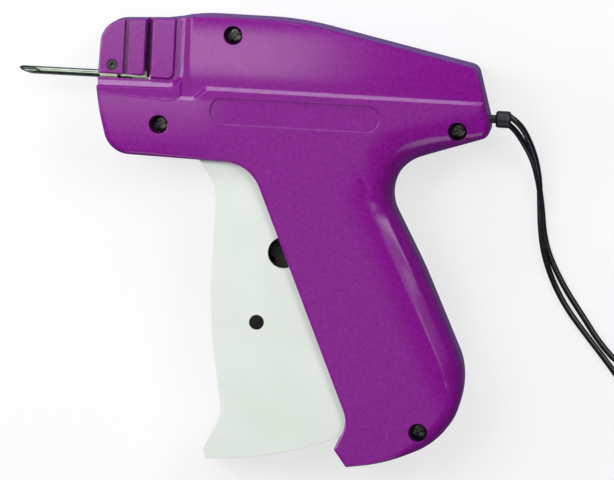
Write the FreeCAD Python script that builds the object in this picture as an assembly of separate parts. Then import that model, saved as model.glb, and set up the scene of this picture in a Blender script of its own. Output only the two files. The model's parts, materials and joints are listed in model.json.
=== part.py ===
"""Garment tag attacher, a hand-squeezed gun that pushes a plastic T-bar through a hollow needle.

The gun lies on its right side. +X runs from the needle back to the rear of the body, +Y from the handle up
to the body, and +Z from the right side, which rests on the surface, up to the left side. The origin is the
trigger pivot's axis in the plane of the resting face. Lengths are millimetres, angles are degrees.

Outlines are lists of corners (x, y, radius): straight sides joined by tangent arcs.
"""
import FreeCAD
import Part
import math
import os

# ---------------------------------------------------------------- driving sizes: housing
BODY_WIDTH = 28.0        # over both shells
WALL = 2.2               # shell wall
CORNER_EASE = 2.0        # chamfer inside the shells, where the side wall meets the edge wall
HEAD_DROP = 5.5          # how far the head's side faces lie below the body's
HEAD_SKIN = 2.0          # wall over the works inside the head
PANEL_SLOPE = 1.75       # width of the slope at the foot of the head panel's recess
PANEL_SLOPE_H = 1.4
PANEL_DRAFT = 0.15       # the recess's wall above that slope leans by this much
PAD_RISE = 0.8           # the head's left face, above the groove round it
PAD_EASE = 0.5           # chamfer along that face's edge
NOSE_EASE = 0.3          # chamfer along the nose block's edge
NOSE_GROOVE_X = -31.55
NOSE_GROOVE_WIDTH = 1.6
NOSE_GROOVE_DEPTH = 2.5
BAND_DROP = 0.5          # the band round the head panel, below the lower body
BAND_SLOPE = 0.55
UPPER_DROP = 0.8         # the upper body, below the lower body
UPPER_SLOPE = 1.3
PLATE_DEPTH = 0.4        # the bare name plate's recess
POST_R = 4.4             # screw posts
SCREW_HEAD_R = 2.75
SCREW_HEAD_H = 1.8
SCREW_SHANK_R = 1.45
SCREW_LENGTH = 11.0      # under the head
SCREW_SINK_R = 3.1       # the hole that the screw's head goes down
SCREW_SLACK = 0.25       # shank in the left shell
SCREW_SPACE = 0.05       # shank in its thread, modelled as a plain hole

# ---------------------------------------------------------------- driving sizes: trigger and linkage
NEEDLE_Y = 9.45          # the needle's and slider's axis, above the trigger pivot
TRIGGER_TRAVEL = 20.0    # degrees
ARM_SWING = 54.0         # degrees, for the whole trigger travel
TRIGGER_REACH = 115.6    # the trigger's lower edge is an arc of this radius round its pivot
TRIGGER_WIDTH = 22.0
TRIGGER_SIDE = 2.0       # its side plates
TRIGGER_FRONT = 2.4      # its front wall, which the fingers pull
TRIGGER_CLEAR = 0.7      # between the trigger's lower edge and the handle's toe
TRIGGER_HUB_R = 4.6
TRIGGER_EYE_R = 6.3      # end of the side plates round the pivot
PIVOT_PIN_R = 1.5
PIVOT_BOSS_R = 2.9       # shell bosses that hold the trigger's pin, inside the eyes of the side plates
PIVOT_BOSS_TOP = 4.7
DRIVE_PIN_AT = (16.9, -69.5)
DRIVE_PIN_R = 1.6
DRIVE_HEAD_R = 2.45
DRIVE_HEAD_H = 1.2
ROLLER_R = 2.4
NOTCH_AT = (24.7, -46.0)  # blind end of the notch that the arm's boss enters
NOTCH_R = 5.2
ARM_BOSS_R = 4.4
ARM_BOSS_TOP = 5.5
ARM_PIN_R = 1.8
ARM_THICK = 6.0
ARM_HUB_R = 4.6
ARM_EYE_R = 6.5
ARM_HEAD_R = 4.2
ARM_RIM = 3.2            # wall round the cam slot
HEAD_PIN_R = 2.0
SLIDER_CHEEK = 3.0
SLIDER_RIM = 2.2         # wall above and below the slider's slots
SLIDER_BRIDGE = 4.5      # block that holds the push rod
SLIDER_TAIL = 5.5        # behind the arm's pin
ARM_SIDE_GAP = 0.5       # arm to slider cheek
RAIL = 2.0               # thickness of the guide ribs
RAIL_LAP = 2.9           # how far the ribs reach over the cheeks

# ---------------------------------------------------------------- driving sizes: needle, feed and cutter
NEEDLE_TIP_X = -66.7
NEEDLE_R = 1.3
NEEDLE_BORE_R = 0.9
NEEDLE_SLIT = 0.8
NEEDLE_SLIT_TURN = 25.0  # degrees from straight up, towards the handle
NEEDLE_POINT = 7.5       # length of the slanted mouth
NEEDLE_REAR_X = -28.8
BASE_FRONT_X = -39.6
BASE_LENGTH = 5.8
BASE_HEIGHT = 4.2
BASE_WIDTH = 4.8
SLOT_FRONT_X = -24.55    # filament slot in the head's left side
SLOT_WIDTH = 2.1
SLOT_DEPTH = 14.5        # from the head's left face
SLIT_HEIGHT = 1.45       # side slit along the needle, under the nose block
SLIT_DROP = 0.83         # the slit's lower edge, under the needle's axis
CHUTE_FRONT_X = -28.6    # the chute that the T-bars come down
CHUTE_LENGTH = 10.2
CHUTE_WIDTH = 2.0
CUTTER_WALL = 1.0
CUTTER_FRONT_X = -32.6
CUTTER_LENGTH = 10.2
CUTTER_HEIGHT = 3.9
FORK_REAR_X = -22.8      # the fork in its left wall that the fasteners' runner comes down into
FORK_WIDTH = 1.5
FORK_FOOT = 0.7          # width at the fork's foot
FORK_SHOULDER = 1.55     # length of the slope in front of the fork
FORK_STAND = 2.0         # height of the fork's tips over the wall in front of them
WHEEL_AT = (-14.2, 20.0)
WHEEL_R = 5.0
WHEEL_TOOTH = 1.0
WHEEL_THICK = 3.4
WHEEL_TEETH = 12
RATCHET_R = 4.2
RATCHET_TOOTH = 0.7
RATCHET_THICK = 2.0
RATCHET_Z = 8.5
FEED_HUB_R = 2.5
FEED_SHAFT_R = 1.2
LEAF = 0.4               # thickness of the two leaf springs
LEAF_REACH = 0.15        # from a leaf's tip to the ratchet's teeth
HORN_TOP = 15.4
PAWL_ROOT = (-2.6, 13.8)
PAWL_LEAD = 3.0          # degrees from the wheel's centre to the pawl's tip, round the trigger's pivot
DETENT_ROOT = (-7.4, 26.0)
DETENT_TURN = 62.0       # degrees, where the detent's tip stands on the ratchet
DETENT_POST = (3.2, 2.8)
ROD_R = 0.7
GUIDE_R = 2.6
GUIDE_LENGTH = 5.4
GUIDE_REAR_X = -12.2
SPRING_R = 2.0           # to the wire's centre
SPRING_WIRE_R = 0.25
SPRING_COILS = 22
LOCK_AT = (-35.2, 12.9)
LOCK_R = 1.85
LOCK_NECK_R = 1.7        # where the shaft crosses the needle's base
LOCK_FLAT = 0.9          # from the shaft's axis to its flat
LOCK_TAIL_R = 1.5        # end of the shaft that the lever is pressed on
LEVER_REACH = 12.5
LEVER_THICK = 3.4
LEVER_HUB_R = 3.4
LEVER_WIDTH = 4.6
LEVER_SKIN = 0.8         # the lever's plastic over the shaft's end

# ---------------------------------------------------------------- driving sizes: wrist strap
ANCHOR_Y = 1.22
ANCHOR_NECK_R = 1.4
ANCHOR_FLANGE_R = 3.2
ANCHOR_FLANGE = 1.6
ANCHOR_END_X = 92.1
BEAD_R = 2.8
BEAD_LAP = 0.9           # how far the strap's legs go into the bead
BEAD_EASE = 0.9
STRAP_R = 1.0

# ---------------------------------------------------------------- clearances
RUN_FIT = 0.05           # pins and shafts in their holes, on the radius
SNUG = 0.02              # pieces pressed or clamped together
GAP = 0.3                # pieces that pass each other
LOOSE = 0.8              # big mouldings that pass each other

# ---------------------------------------------------------------- outlines
# (x, y, corner radius, radius of the rounded rim beside that corner)
HOUSING = [
    (-34.7, -15.9, 9.0, 1.6),
    (12.3, -16.95, 13.1, 0.8),
    (48.85, -101.0, 9.0, 0.8),
    (44.6, -110.0, 0.6, 0.8),
    (48.9, -115.7, 0.6, 0.8),
    (60.9, -113.9, 60.0, 2.0),
    (77.3, -107.1, 24.0, 3.0),
    (84.3, -97.4, 18.0, 4.5),
    (86.6, -87.8, 30.0, 6.0),
    (85.6, -79.2, 20.0, 6.8),
    (71.3, -49.0, 150.0, 6.8),
    (53.6, -17.1, 13.4, 6.8),
    (90.8, -4.05, 3.5, 2.6),
    (90.6, 0.6, 6.0, 2.2),
    (85.5, 18.3, 3.5, 2.2),
    (25.8, 30.75, 100.0, 2.2),
    (-6.0, 30.85, 50.0, 1.8),
    (-18.0, 28.9, 10.0, 0.9),
    (-39.2, 27.8, 8.0, 0.6),
    (-39.9, 7.0, 30.0, 0.6),
    (-38.5, -1.5, 40.0, 1.0),
]
FAR = 60.0               # past every edge of the gun
HEAD_BAND = [(-FAR, 5.8, 0.0), (-8.9, 2.1, 7.2), (-8.9, FAR, 0.0), (-FAR, FAR, 0.0)]
HEAD_PANEL = [(-FAR, 7.7, 0.0), (-13.1, 8.2, 4.0), (-13.1, FAR, 0.0), (-FAR, FAR, 0.0)]
PAD = [(-21.95, 9.65, 0.4), (-15.1, 9.65, 1.6), (-15.1, FAR, 0.0), (-21.95, FAR, 0.0)]
UPPER_BODY = [(-11.5, 4.1, 0.0), (-7.7, 4.1, 2.0), (-3.3, 7.8, 2.5), (2 * FAR, 7.3, 0.0), (2 * FAR, FAR, 0.0),
              (-11.5, FAR, 0.0)]
NAME_PLATE = [(-1.8, -4.4, 4.2), (54.2, -4.6, 4.2), (54.2, 4.1, 4.2), (-1.8, 4.2, 4.2)]
TRIGGER_EDGE = [
    (TRIGGER_EYE_R, TRIGGER_EYE_R, TRIGGER_EYE_R - 0.05),
    (-TRIGGER_EYE_R, TRIGGER_EYE_R, TRIGGER_EYE_R - 0.05),
    (-5.8, -15.2, 3.0),
    (1.5, -25.2, 14.0),
    (1.1, -58.0, 90.0),
    (2.3, -75.0, 90.0),
    (6.9, -100.5, 14.0),
    (1.2, -112.2, 1.2),
    (2.6, -118.0, 0.0),
    (48.3, -118.0, 0.0),
    (48.7, -99.5, 4.0),
    (33.0, -57.0, 30.0),
    (24.0, -34.0, 30.0),
    (17.5, -19.5, 8.0),
    (6.6, -5.0, 2.0),
]
TRIGGER_DOOR = [(-6.6, -8.0, 0.0), (-6.6, -18.0, 0.0), (-30.0, -60.0, 0.0), (-30.0, -130.0, 0.0),
                (67.0, -130.0, 0.0), (57.0, -100.0, 0.0), (32.0, -45.0, 0.0), (24.0, -20.0, 0.0), (12.0, -8.0, 0.0)]
TRIGGER_REAR = [(12.0, -8.0, 0.0), (14.0, -60.0, 0.0), (20.0, -130.0, 0.0), (70.0, -130.0, 0.0), (70.0, -8.0, 0.0)]
# (x, y, how far the top of the head lies under the left side)
SCREWS = [(4.65, 25.0, 8.5), (-18.55, -5.6, 9.5), (80.1, -2.75, 9.5), (72.15, -102.95, 9.5)]
# The strap runs from its bead out to its far end and back. (x, y, z)
STRAP_ROUTE = [
    (96.55, 2.37, 14.0),
    (99.86, 0.43, 13.6),
    (103.14, -4.74, 11.6),
    (105.79, -11.12, 8.4),
    (107.43, -18.74, 5.0),
    (107.9, -26.45, 3.4),
    (108.5, -34.55, 3.3),
    (109.8, -42.7, 2.6),
    (112.8, -51.93, 1.2),
    (117.75, -61.06, 1.02),
    (124.02, -69.67, 1.02),
    (130.09, -76.96, 1.02),
    (136.36, -84.86, 1.02),
    (143.04, -94.99, 1.02),
    (152.95, -102.08, 1.02),
    (164.09, -99.56, 1.02),
    (168.65, -89.44, 1.02),
    (161.06, -81.33, 1.02),
    (148.92, -82.03, 1.02),
    (138.59, -79.4, 1.02),
    (130.9, -72.3, 1.02),
    (124.43, -64.0, 1.02),
    (117.86, -54.89, 1.02),
    (111.89, -44.35, 1.02),
    (109.57, -36.26, 1.02),
    (108.66, -28.16, 1.02),
    (107.07, -19.79, 1.9),
    (104.9, -12.31, 4.6),
    (101.16, -5.76, 8.6),
    (98.22, -1.66, 12.4),
    (95.85, 0.07, 14.0),
]

# ---------------------------------------------------------------- places worked out from the sizes
MID = BODY_WIDTH / 2
HEAD_LEFT = BODY_WIDTH - HEAD_DROP
HALF_SWING = math.radians(ARM_SWING / 2)
TRIGGER_LOW = MID - TRIGGER_WIDTH / 2
TRIGGER_HIGH = MID + TRIGGER_WIDTH / 2
ARM_LOW = MID - ARM_THICK / 2
ARM_HIGH = MID + ARM_THICK / 2
CHEEK_LOW = ARM_LOW - ARM_SIDE_GAP - SLIDER_CHEEK
CHEEK_HIGH = ARM_HIGH + ARM_SIDE_GAP + SLIDER_CHEEK
STEP = 0.01              # overlap that joins two solids of one piece


def vector(x, y, z=0.0):
    return FreeCAD.Vector(x, y, z)


def turned(x, y, angle):
    """A point of the XY plane turned by angle degrees round the trigger's pivot."""
    c, s = math.cos(math.radians(angle)), math.sin(math.radians(angle))
    return x * c - y * s, x * s + y * c


ARM_AT = turned(*NOTCH_AT, TRIGGER_TRAVEL)
ARM_UPPER = 2 * (NEEDLE_Y - ARM_AT[1]) / (1 + math.cos(HALF_SWING))
STROKE = 2 * ARM_UPPER * math.sin(HALF_SWING)
HEAD_PIN_AT = (ARM_AT[0] + STROKE / 2, ARM_AT[1] + ARM_UPPER * math.cos(HALF_SWING))
PIN_RISE = ARM_UPPER * (1 - math.cos(HALF_SWING))
# The pin's swing is a sine and the slider's travel is even, so the slot has play for the difference.
PIN_PLAY = 0.0645 * ARM_UPPER * HALF_SWING ** 3 + RUN_FIT
SLIDER_LOW = HEAD_PIN_AT[1] - HEAD_PIN_R - GAP - SLIDER_RIM
SLIDER_HIGH = HEAD_PIN_AT[1] + PIN_RISE + HEAD_PIN_R + GAP + SLIDER_RIM
SLIDER_GROOVE = 7.8      # from the arm's pin forward to the bridge
SLIDER_FRONT_X = HEAD_PIN_AT[0] - SLIDER_GROOVE - SLIDER_BRIDGE
SLIDER_REAR_X = HEAD_PIN_AT[0] + SLIDER_TAIL
SLOT_REAR_X = SLOT_FRONT_X + SLOT_WIDTH
SLIT_LOW_Y = NEEDLE_Y - SLIT_DROP
SLIT_HIGH_Y = SLIT_LOW_Y + SLIT_HEIGHT
CHUTE_REAR_X = CHUTE_FRONT_X + CHUTE_LENGTH
CHUTE_FLOOR_Y = NEEDLE_Y - CHUTE_WIDTH / 2
FORK_FOOT_Y = NEEDLE_Y - math.tan(math.radians(NEEDLE_SLIT_TURN)) * (CHUTE_WIDTH + CUTTER_WALL) / 2
ROD_TIP_X = CHUTE_REAR_X - GAP
HEAD_INNER_X = -6.2      # the body's full-width hollow ends here
HEAD_INNER_Y = 0.6
HEAD_HOLLOW_Y = 26.8


# ---------------------------------------------------------------- shape helpers
def rounded(corners, z=0.0):
    """Closed wire at height z: straight sides joined by each corner's own tangent arc."""
    spans = []
    for i, corner in enumerate(corners):
        here = vector(corner[0], corner[1], z)
        before = vector(*corners[i - 1][:2], z) - here
        after = vector(*corners[(i + 1) % len(corners)][:2], z) - here
        before.normalize()
        after.normalize()
        half = before.getAngle(after) / 2
        radius = corner[2]
        if radius <= 0:
            spans.append((here, here, here))
            continue
        inward = before + after
        inward.normalize()
        centre = here + inward * (radius / math.sin(half))
        reach = radius / math.tan(half)
        spans.append((here + before * reach, centre - inward * radius, here + after * reach))
    edges = []
    for i, (start, middle, end) in enumerate(spans):
        if (end - start).Length > 1e-6:
            edges.append(Part.Arc(start, middle, end).toShape())
        following = spans[(i + 1) % len(spans)][0]
        edges.append(Part.LineSegment(end, following).toShape())
    return Part.Wire(edges)


def grown(corners, spread):
    """The corners of the outline moved outwards by spread, or inwards where it is negative.

    The outline runs anticlockwise. Round corners keep their centres.
    """
    moved = []
    for i, corner in enumerate(corners):
        here = vector(*corner[:2])
        before = here - vector(*corners[i - 1][:2])
        after = vector(*corners[(i + 1) % len(corners)][:2]) - here
        before.normalize()
        after.normalize()
        outward = vector(before.y + after.y, -before.x - after.x)
        shift = outward * (2 * spread / outward.Length ** 2)
        convex = before.cross(after).z > 0
        radius = corner[2] + (spread if convex else -spread)
        moved.append((here.x + shift.x, here.y + shift.y, max(radius, 0.3) if corner[2] else 0.0))
    return moved


def prism(corners, low, high):
    return Part.Face(rounded(corners, low)).extrude(vector(0, 0, high - low))


def funnel(corners, spread, floor, mouth):
    """A prism with sloping sides: the outline at floor, grown by spread at mouth."""
    return Part.makeLoft([rounded(corners, floor), rounded(grown(corners, spread), mouth)], True, True)


def post(x, y, radius, low, high):
    return Part.makeCylinder(radius, high - low, vector(x, y, low), vector(0, 0, 1))


def bar(radius, start_x, end_x, y=NEEDLE_Y, z=MID):
    """Round bar along X."""
    return Part.makeCylinder(radius, end_x - start_x, vector(start_x, y, z), vector(1, 0, 0))


def block(low, high):
    return Part.makeBox(high[0] - low[0], high[1] - low[1], high[2] - low[2], vector(*low))


def joined(shapes):
    whole = shapes[0].fuse(shapes[1:]) if len(shapes) > 1 else shapes[0]
    return whole.removeSplitter()


def less(shape, cutters):
    return shape.cut(cutters).removeSplitter()


def to_left(shape):
    """The same shape on the other side of the parting plane."""
    return shape.mirror(vector(0, 0, MID), vector(0, 0, 1))


def band(path, half_width):
    """Face of constant width along a curve through the path's points, with round ends."""
    curve = Part.BSplineCurve()
    curve.interpolate([vector(*p) for p in path])
    sides = {1: [], -1: []}
    for point in path:
        along = curve.tangent(curve.parameter(vector(*point)))[0]
        for side, points in sides.items():
            points.append(vector(point[0] - side * along.y * half_width, point[1] + side * along.x * half_width))
    left, right = Part.BSplineCurve(), Part.BSplineCurve()
    left.interpolate(sides[1])
    right.interpolate(sides[-1])
    first = curve.tangent(curve.FirstParameter)[0]
    last = curve.tangent(curve.LastParameter)[0]
    start, end = vector(*path[0]), vector(*path[-1])
    caps = [
        Part.Arc(sides[1][-1], end + last * half_width, sides[-1][-1]).toShape(),
        Part.Arc(sides[-1][0], start - first * half_width, sides[1][0]).toShape(),
    ]
    return Part.Face(Part.Wire(Part.__sortEdges__([left.toShape(), caps[0], right.toShape(), caps[1]])))


def save(name, shape):
    shape.exportStep(f"parts/{name}.step")
    print(f"{name}: {len(shape.Solids)} solid(s), {shape.Volume:.1f} mm3, valid {shape.isValid()}")


# ---------------------------------------------------------------- housing
def round_rim(shape):
    """Round the edge of the side face, with the radius that HOUSING gives beside each corner."""
    def rim_at(point):
        nearest = min(HOUSING, key=lambda c: math.hypot(point.x - c[0], point.y - c[1]))
        return nearest[3]

    document = FreeCAD.newDocument("rim")
    base = document.addObject("Part::Feature", "base")
    base.Shape = shape
    fillet = document.addObject("Part::Fillet", "fillet")
    fillet.Base = base
    fillet.Edges = [
        (number, rim_at(edge.Vertexes[0].Point), rim_at(edge.Vertexes[-1].Point))
        for number, edge in enumerate(shape.Edges, 1)
        if edge.BoundBox.ZMax < 1e-6
    ]
    document.recompute()
    done = fillet.Shape.copy()
    FreeCAD.closeDocument(document.Name)
    return done


def body_hollow():
    """The hollow of a half shell, from its side wall to past the parting plane."""
    inner = grown(HOUSING, -WALL)
    whole = joined([
        prism(inner, WALL + CORNER_EASE, MID + 1),
        funnel(grown(HOUSING, -WALL - CORNER_EASE), CORNER_EASE, WALL, WALL + CORNER_EASE + STEP),
    ])
    head = block((-FAR, HEAD_INNER_Y, -1), (HEAD_INNER_X, FAR, BODY_WIDTH))
    return whole.cut(head)


def head_hollow():
    """Room for the feed wheel, its pawl and the push rod's guide, inside the head."""
    low = HEAD_DROP + HEAD_SKIN
    ratchet_side = RATCHET_Z + RATCHET_THICK + LOOSE
    return joined([
        block((WHEEL_AT[0] - RATCHET_R - GAP, HEAD_INNER_Y - 0.1, low), (HEAD_INNER_X + 0.1, HEAD_HOLLOW_Y, ratchet_side)),
        block((CHUTE_REAR_X + 1.2, HEAD_INNER_Y - 0.1, low), (HEAD_INNER_X + 0.1, HEAD_HOLLOW_Y, MID + 1)),
        post(*WHEEL_AT, WHEEL_R + 0.4, MID - WHEEL_THICK / 2 - GAP, MID + 1),
    ])


def trigger_door():
    """Opening that the trigger moves through, down to the toe of the handle."""
    sweep = prism(TRIGGER_DOOR, TRIGGER_LOW - LOOSE + 0.6, MID + 1)
    return sweep.common(post(0, 0, TRIGGER_REACH + TRIGGER_CLEAR, 0, BODY_WIDTH))


def guide_ribs():
    """Ribs of one shell that the slider runs between, and the stop behind it."""
    start, end = 8.0, SLIDER_REAR_X + GAP + RAIL
    top = CHEEK_LOW + RAIL_LAP
    floor = WALL - STEP
    return [
        block((start, SLIDER_HIGH + GAP / 2, floor), (end, SLIDER_HIGH + GAP / 2 + RAIL, top)),
        block((start, SLIDER_LOW - GAP / 2 - RAIL, floor), (end, SLIDER_LOW - GAP / 2, top)),
        block((start, NEEDLE_Y - RAIL / 2, floor), (end, NEEDLE_Y + RAIL / 2, CHEEK_LOW - GAP)),
        block((SLIDER_REAR_X + GAP, SLIDER_LOW - RAIL, floor), (end, SLIDER_HIGH + RAIL, top)),
    ]


def guide_saddle():
    """Rib that carries half of the push rod's guide."""
    front = GUIDE_REAR_X - GUIDE_LENGTH + 1.0
    rib = block((front, HEAD_INNER_Y - 0.2, HEAD_DROP + HEAD_SKIN - STEP), (GUIDE_REAR_X - 1.0, NEEDLE_Y, MID))
    return rib


def head_recess(padded):
    """What the head's panel takes out of the side face. The padded one leaves the pad behind the slot."""
    floor = HEAD_DROP + PAD_RISE if padded else HEAD_DROP
    wide = grown(HEAD_PANEL, PANEL_SLOPE)
    recess = joined([
        funnel(HEAD_PANEL, PANEL_SLOPE, floor, floor - PANEL_SLOPE_H),
        funnel(wide, PANEL_DRAFT, floor - PANEL_SLOPE_H + STEP, -STEP),
    ])
    if not padded:
        return recess
    pad = joined([
        funnel(PAD, PAD_EASE, HEAD_DROP, HEAD_DROP + PAD_EASE + STEP),
        prism(grown(PAD, PAD_EASE), HEAD_DROP + PAD_EASE, floor + 1),
    ])
    return recess.cut(pad)


def head_rim():
    """What the rounded edge of the head's lowered side face takes away."""
    lowered = round_rim(prism(HOUSING, 0, MID)).translate(vector(0, 0, HEAD_DROP))
    return prism(HEAD_PANEL, HEAD_DROP, MID).cut(lowered)


def half_shell(padded):
    """What both shells share, as the right one: side face at Z 0, parting plane at MID."""
    shell = round_rim(prism(HOUSING, 0, MID))
    shell = less(shell, [head_recess(padded), head_rim()])
    inside = prism(grown(HOUSING, -WALL / 2), WALL / 2, MID)
    shell = less(shell, [body_hollow(), head_hollow(), trigger_door()])
    ribs = guide_ribs() + [post(x, y, POST_R, WALL - STEP, MID) for x, y, _ in SCREWS]
    ribs = [rib.common(inside) for rib in ribs]
    ribs += [
        guide_saddle(),
        post(0, 0, PIVOT_BOSS_R, WALL - STEP, PIVOT_BOSS_TOP),
        post(*ARM_AT, ARM_BOSS_R, WALL - STEP, ARM_BOSS_TOP),
    ]
    shell = joined([shell] + ribs)
    low = HEAD_DROP + HEAD_SKIN
    return less(shell, [
        bar(GUIDE_R + SNUG, GUIDE_REAR_X - GUIDE_LENGTH, GUIDE_REAR_X),
        bar(ROD_R + GAP, NEEDLE_REAR_X, 0),
        post(0, 0, PIVOT_PIN_R + SNUG, WALL - 1.0, PIVOT_BOSS_TOP + 1),
        post(*ARM_AT, ARM_PIN_R + SNUG, WALL - 1.0, ARM_BOSS_TOP + 1),
        post(*WHEEL_AT, FEED_SHAFT_R + RUN_FIT, low - 1.0, low + 1),
    ])


def chute():
    """The T-bars' chute, open at the top of the head."""
    return block((CHUTE_FRONT_X, CHUTE_FLOOR_Y, MID - CHUTE_WIDTH / 2), (CHUTE_REAR_X, FAR, MID + CHUTE_WIDTH / 2))


def anchor_hole():
    """Seat of the strap anchor in the rear wall."""
    inner_x = ANCHOR_END_X - 4.2
    return [
        bar(ANCHOR_NECK_R + RUN_FIT, inner_x - 1, ANCHOR_END_X, ANCHOR_Y),
        bar(ANCHOR_FLANGE_R + RUN_FIT, inner_x - ANCHOR_FLANGE - SNUG, inner_x + SNUG, ANCHOR_Y),
    ]


def needle_seat():
    """Room in the nose for the needle's base, tube and cutter."""
    return [
        block((-FAR, NEEDLE_Y - BASE_HEIGHT / 2 - RUN_FIT, MID - BASE_WIDTH / 2 - RUN_FIT),
              (BASE_FRONT_X + BASE_LENGTH + RUN_FIT, NEEDLE_Y + BASE_HEIGHT / 2 + RUN_FIT, MID + BASE_WIDTH / 2 + RUN_FIT)),
        bar(NEEDLE_R + RUN_FIT, BASE_FRONT_X, CUTTER_FRONT_X),
        cutter_blank(RUN_FIT),
    ]


def nose_block():
    """Full-depth block of the right shell that holds the needle, up to the head's left face."""
    room = block((-FAR, SLIT_HIGH_Y, MID - STEP), (SLOT_FRONT_X, FAR, HEAD_LEFT))
    nose = prism(HOUSING, MID - STEP, HEAD_LEFT).common(room)
    eased = []
    for edge in nose.Edges:
        box = edge.BoundBox
        by_slot = box.XMin > SLOT_FRONT_X - STEP
        by_slit = box.YMax < SLIT_HIGH_Y + STEP
        if box.ZMin > HEAD_LEFT - STEP and (by_slot or by_slit):
            eased.append(edge)
    nose = nose.makeChamfer(NOSE_EASE, eased)
    groove = block((NOSE_GROOVE_X, NEEDLE_Y, HEAD_LEFT - NOSE_GROOVE_DEPTH),
                   (NOSE_GROOVE_X + NOSE_GROOVE_WIDTH, FAR, HEAD_LEFT + 1))
    return less(nose, [groove, to_left(head_rim())])


def detent_post():
    width, height = DETENT_POST
    end = HEAD_INNER_X + WALL / 2
    return block((end - width, HEAD_HOLLOW_Y - height, HEAD_DROP + HEAD_SKIN - STEP),
                 (end, HEAD_HOLLOW_Y + STEP, RATCHET_Z + RATCHET_THICK))


def right_shell():
    shell = joined([half_shell(False), nose_block(), detent_post()])
    pilots = [post(x, y, SCREW_SHANK_R + SCREW_SPACE, screw_tip(sink) - 1, MID + 1) for x, y, sink in SCREWS]
    slot = block((SLOT_FRONT_X, SLIT_LOW_Y, HEAD_LEFT - SLOT_DEPTH), (SLOT_REAR_X, FAR, MID + 1))
    lock = post(*LOCK_AT, LOCK_R + RUN_FIT, 0, BODY_WIDTH)
    return less(shell, pilots + [slot, lock, chute(), detent_leaf(SNUG)] + needle_seat() + anchor_hole())


def left_shell():
    face = BODY_WIDTH
    shell = to_left(half_shell(True))
    cuts = [
        funnel(HEAD_BAND, BAND_SLOPE, face - BAND_DROP, face + STEP),
        funnel(UPPER_BODY, UPPER_SLOPE, face - UPPER_DROP, face + STEP),
        prism(NAME_PLATE, face - PLATE_DEPTH, face + 1),
        block((-FAR, SLIT_LOW_Y, MID - 1), (SLOT_REAR_X, FAR, face + 1)),
        chute(),
    ]
    for x, y, sink in SCREWS:
        cuts.append(post(x, y, SCREW_SINK_R, screw_seat(sink), face + 1))
        cuts.append(post(x, y, SCREW_SHANK_R + SCREW_SLACK, MID - 1, face))
    return less(shell, cuts + needle_seat() + anchor_hole())


def screw_seat(sink):
    return BODY_WIDTH - sink - SCREW_HEAD_H


def screw_tip(sink):
    return screw_seat(sink) - SCREW_LENGTH


def housing_screws():
    """Four pan-head screws with a cross recess."""
    screws = []
    for x, y, sink in SCREWS:
        seat = screw_seat(sink)
        top = seat + SCREW_HEAD_H
        head = post(x, y, SCREW_HEAD_R, seat, top)
        head = head.makeFillet(0.7, [e for e in head.Edges if e.BoundBox.ZMin > top - 0.01])
        point = Part.makeCone(0.4, SCREW_SHANK_R, 2.0, vector(x, y, screw_tip(sink)), vector(0, 0, 1))
        shank = post(x, y, SCREW_SHANK_R, screw_tip(sink) + 2.0, seat)
        arms = [block((x - 1.7, y - 0.35, top - 1.0), (x + 1.7, y + 0.35, top + 1)),
                block((x - 0.35, y - 1.7, top - 1.0), (x + 0.35, y + 1.7, top + 1))]
        screws.append(less(joined([head, shank, point]), arms))
    return Part.makeCompound(screws)


# ---------------------------------------------------------------- trigger
def trigger():
    low, high = TRIGGER_LOW, TRIGGER_HIGH
    inner_low, inner_high = low + TRIGGER_SIDE, high - TRIGGER_SIDE
    reach = post(0, 0, TRIGGER_REACH, low, high)
    shape = prism(TRIGGER_EDGE, low, high).common(reach)
    hollow = joined([prism(grown(TRIGGER_EDGE, -TRIGGER_FRONT), inner_low, inner_high),
                     prism(TRIGGER_REAR, inner_low, inner_high)])
    hollow = hollow.common(post(0, 0, TRIGGER_REACH - TRIGGER_FRONT, inner_low, inner_high))
    round_hub = post(0, 0, TRIGGER_EYE_R + 1, inner_low, inner_high)
    shape = less(shape, [hollow, round_hub])
    neck = prism([(-5.9, -15.0, 0.0), (-3.0, -15.0, 0.0), (-1.0, -3.0, 0.0), (-4.2, -1.0, 0.0)], inner_low, inner_high)
    horn = prism([(-1.0, 2.0, 0.0), (-1.4, HORN_TOP, 0.8), (-4.6, HORN_TOP - 0.5, 0.8), (-4.2, 1.0, 0.0)],
                 RATCHET_Z, RATCHET_Z + RATCHET_THICK)
    shape = joined([shape, neck, horn, post(0, 0, TRIGGER_HUB_R, inner_low - STEP, inner_high + STEP)])
    radius = math.hypot(*NOTCH_AT)
    ring = post(0, 0, radius + NOTCH_R, low - 1, high + 1).cut(post(0, 0, radius - NOTCH_R, low - 1, high + 1))
    behind = [NOTCH_AT + (0.0,), (2 * NOTCH_AT[0], 2 * NOTCH_AT[1], 0.0), (2 * FAR, 0.0, 0.0), (0.1, 0.0, 0.0)]
    drive = vector(*DRIVE_PIN_AT)
    return less(shape, [
        ring.common(prism(behind, low - 1, high + 1)),
        post(*NOTCH_AT, NOTCH_R, low - 1, high + 1),
        post(0, 0, PIVOT_PIN_R + RUN_FIT, low - 1, high + 1),
        post(0, 0, PIVOT_BOSS_R + GAP, low - 1, inner_low),
        post(0, 0, PIVOT_BOSS_R + GAP, inner_high, high + 1),
        post(drive.x, drive.y, DRIVE_PIN_R + SNUG, low - 1, high + 1),
        post(drive.x, drive.y, DRIVE_HEAD_R + SNUG, low - 1, low + DRIVE_HEAD_H + SNUG),
        post(drive.x, drive.y, DRIVE_HEAD_R + SNUG, high - DRIVE_HEAD_H - SNUG, high + 1),
        feed_pawl(SNUG),
    ])


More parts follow.
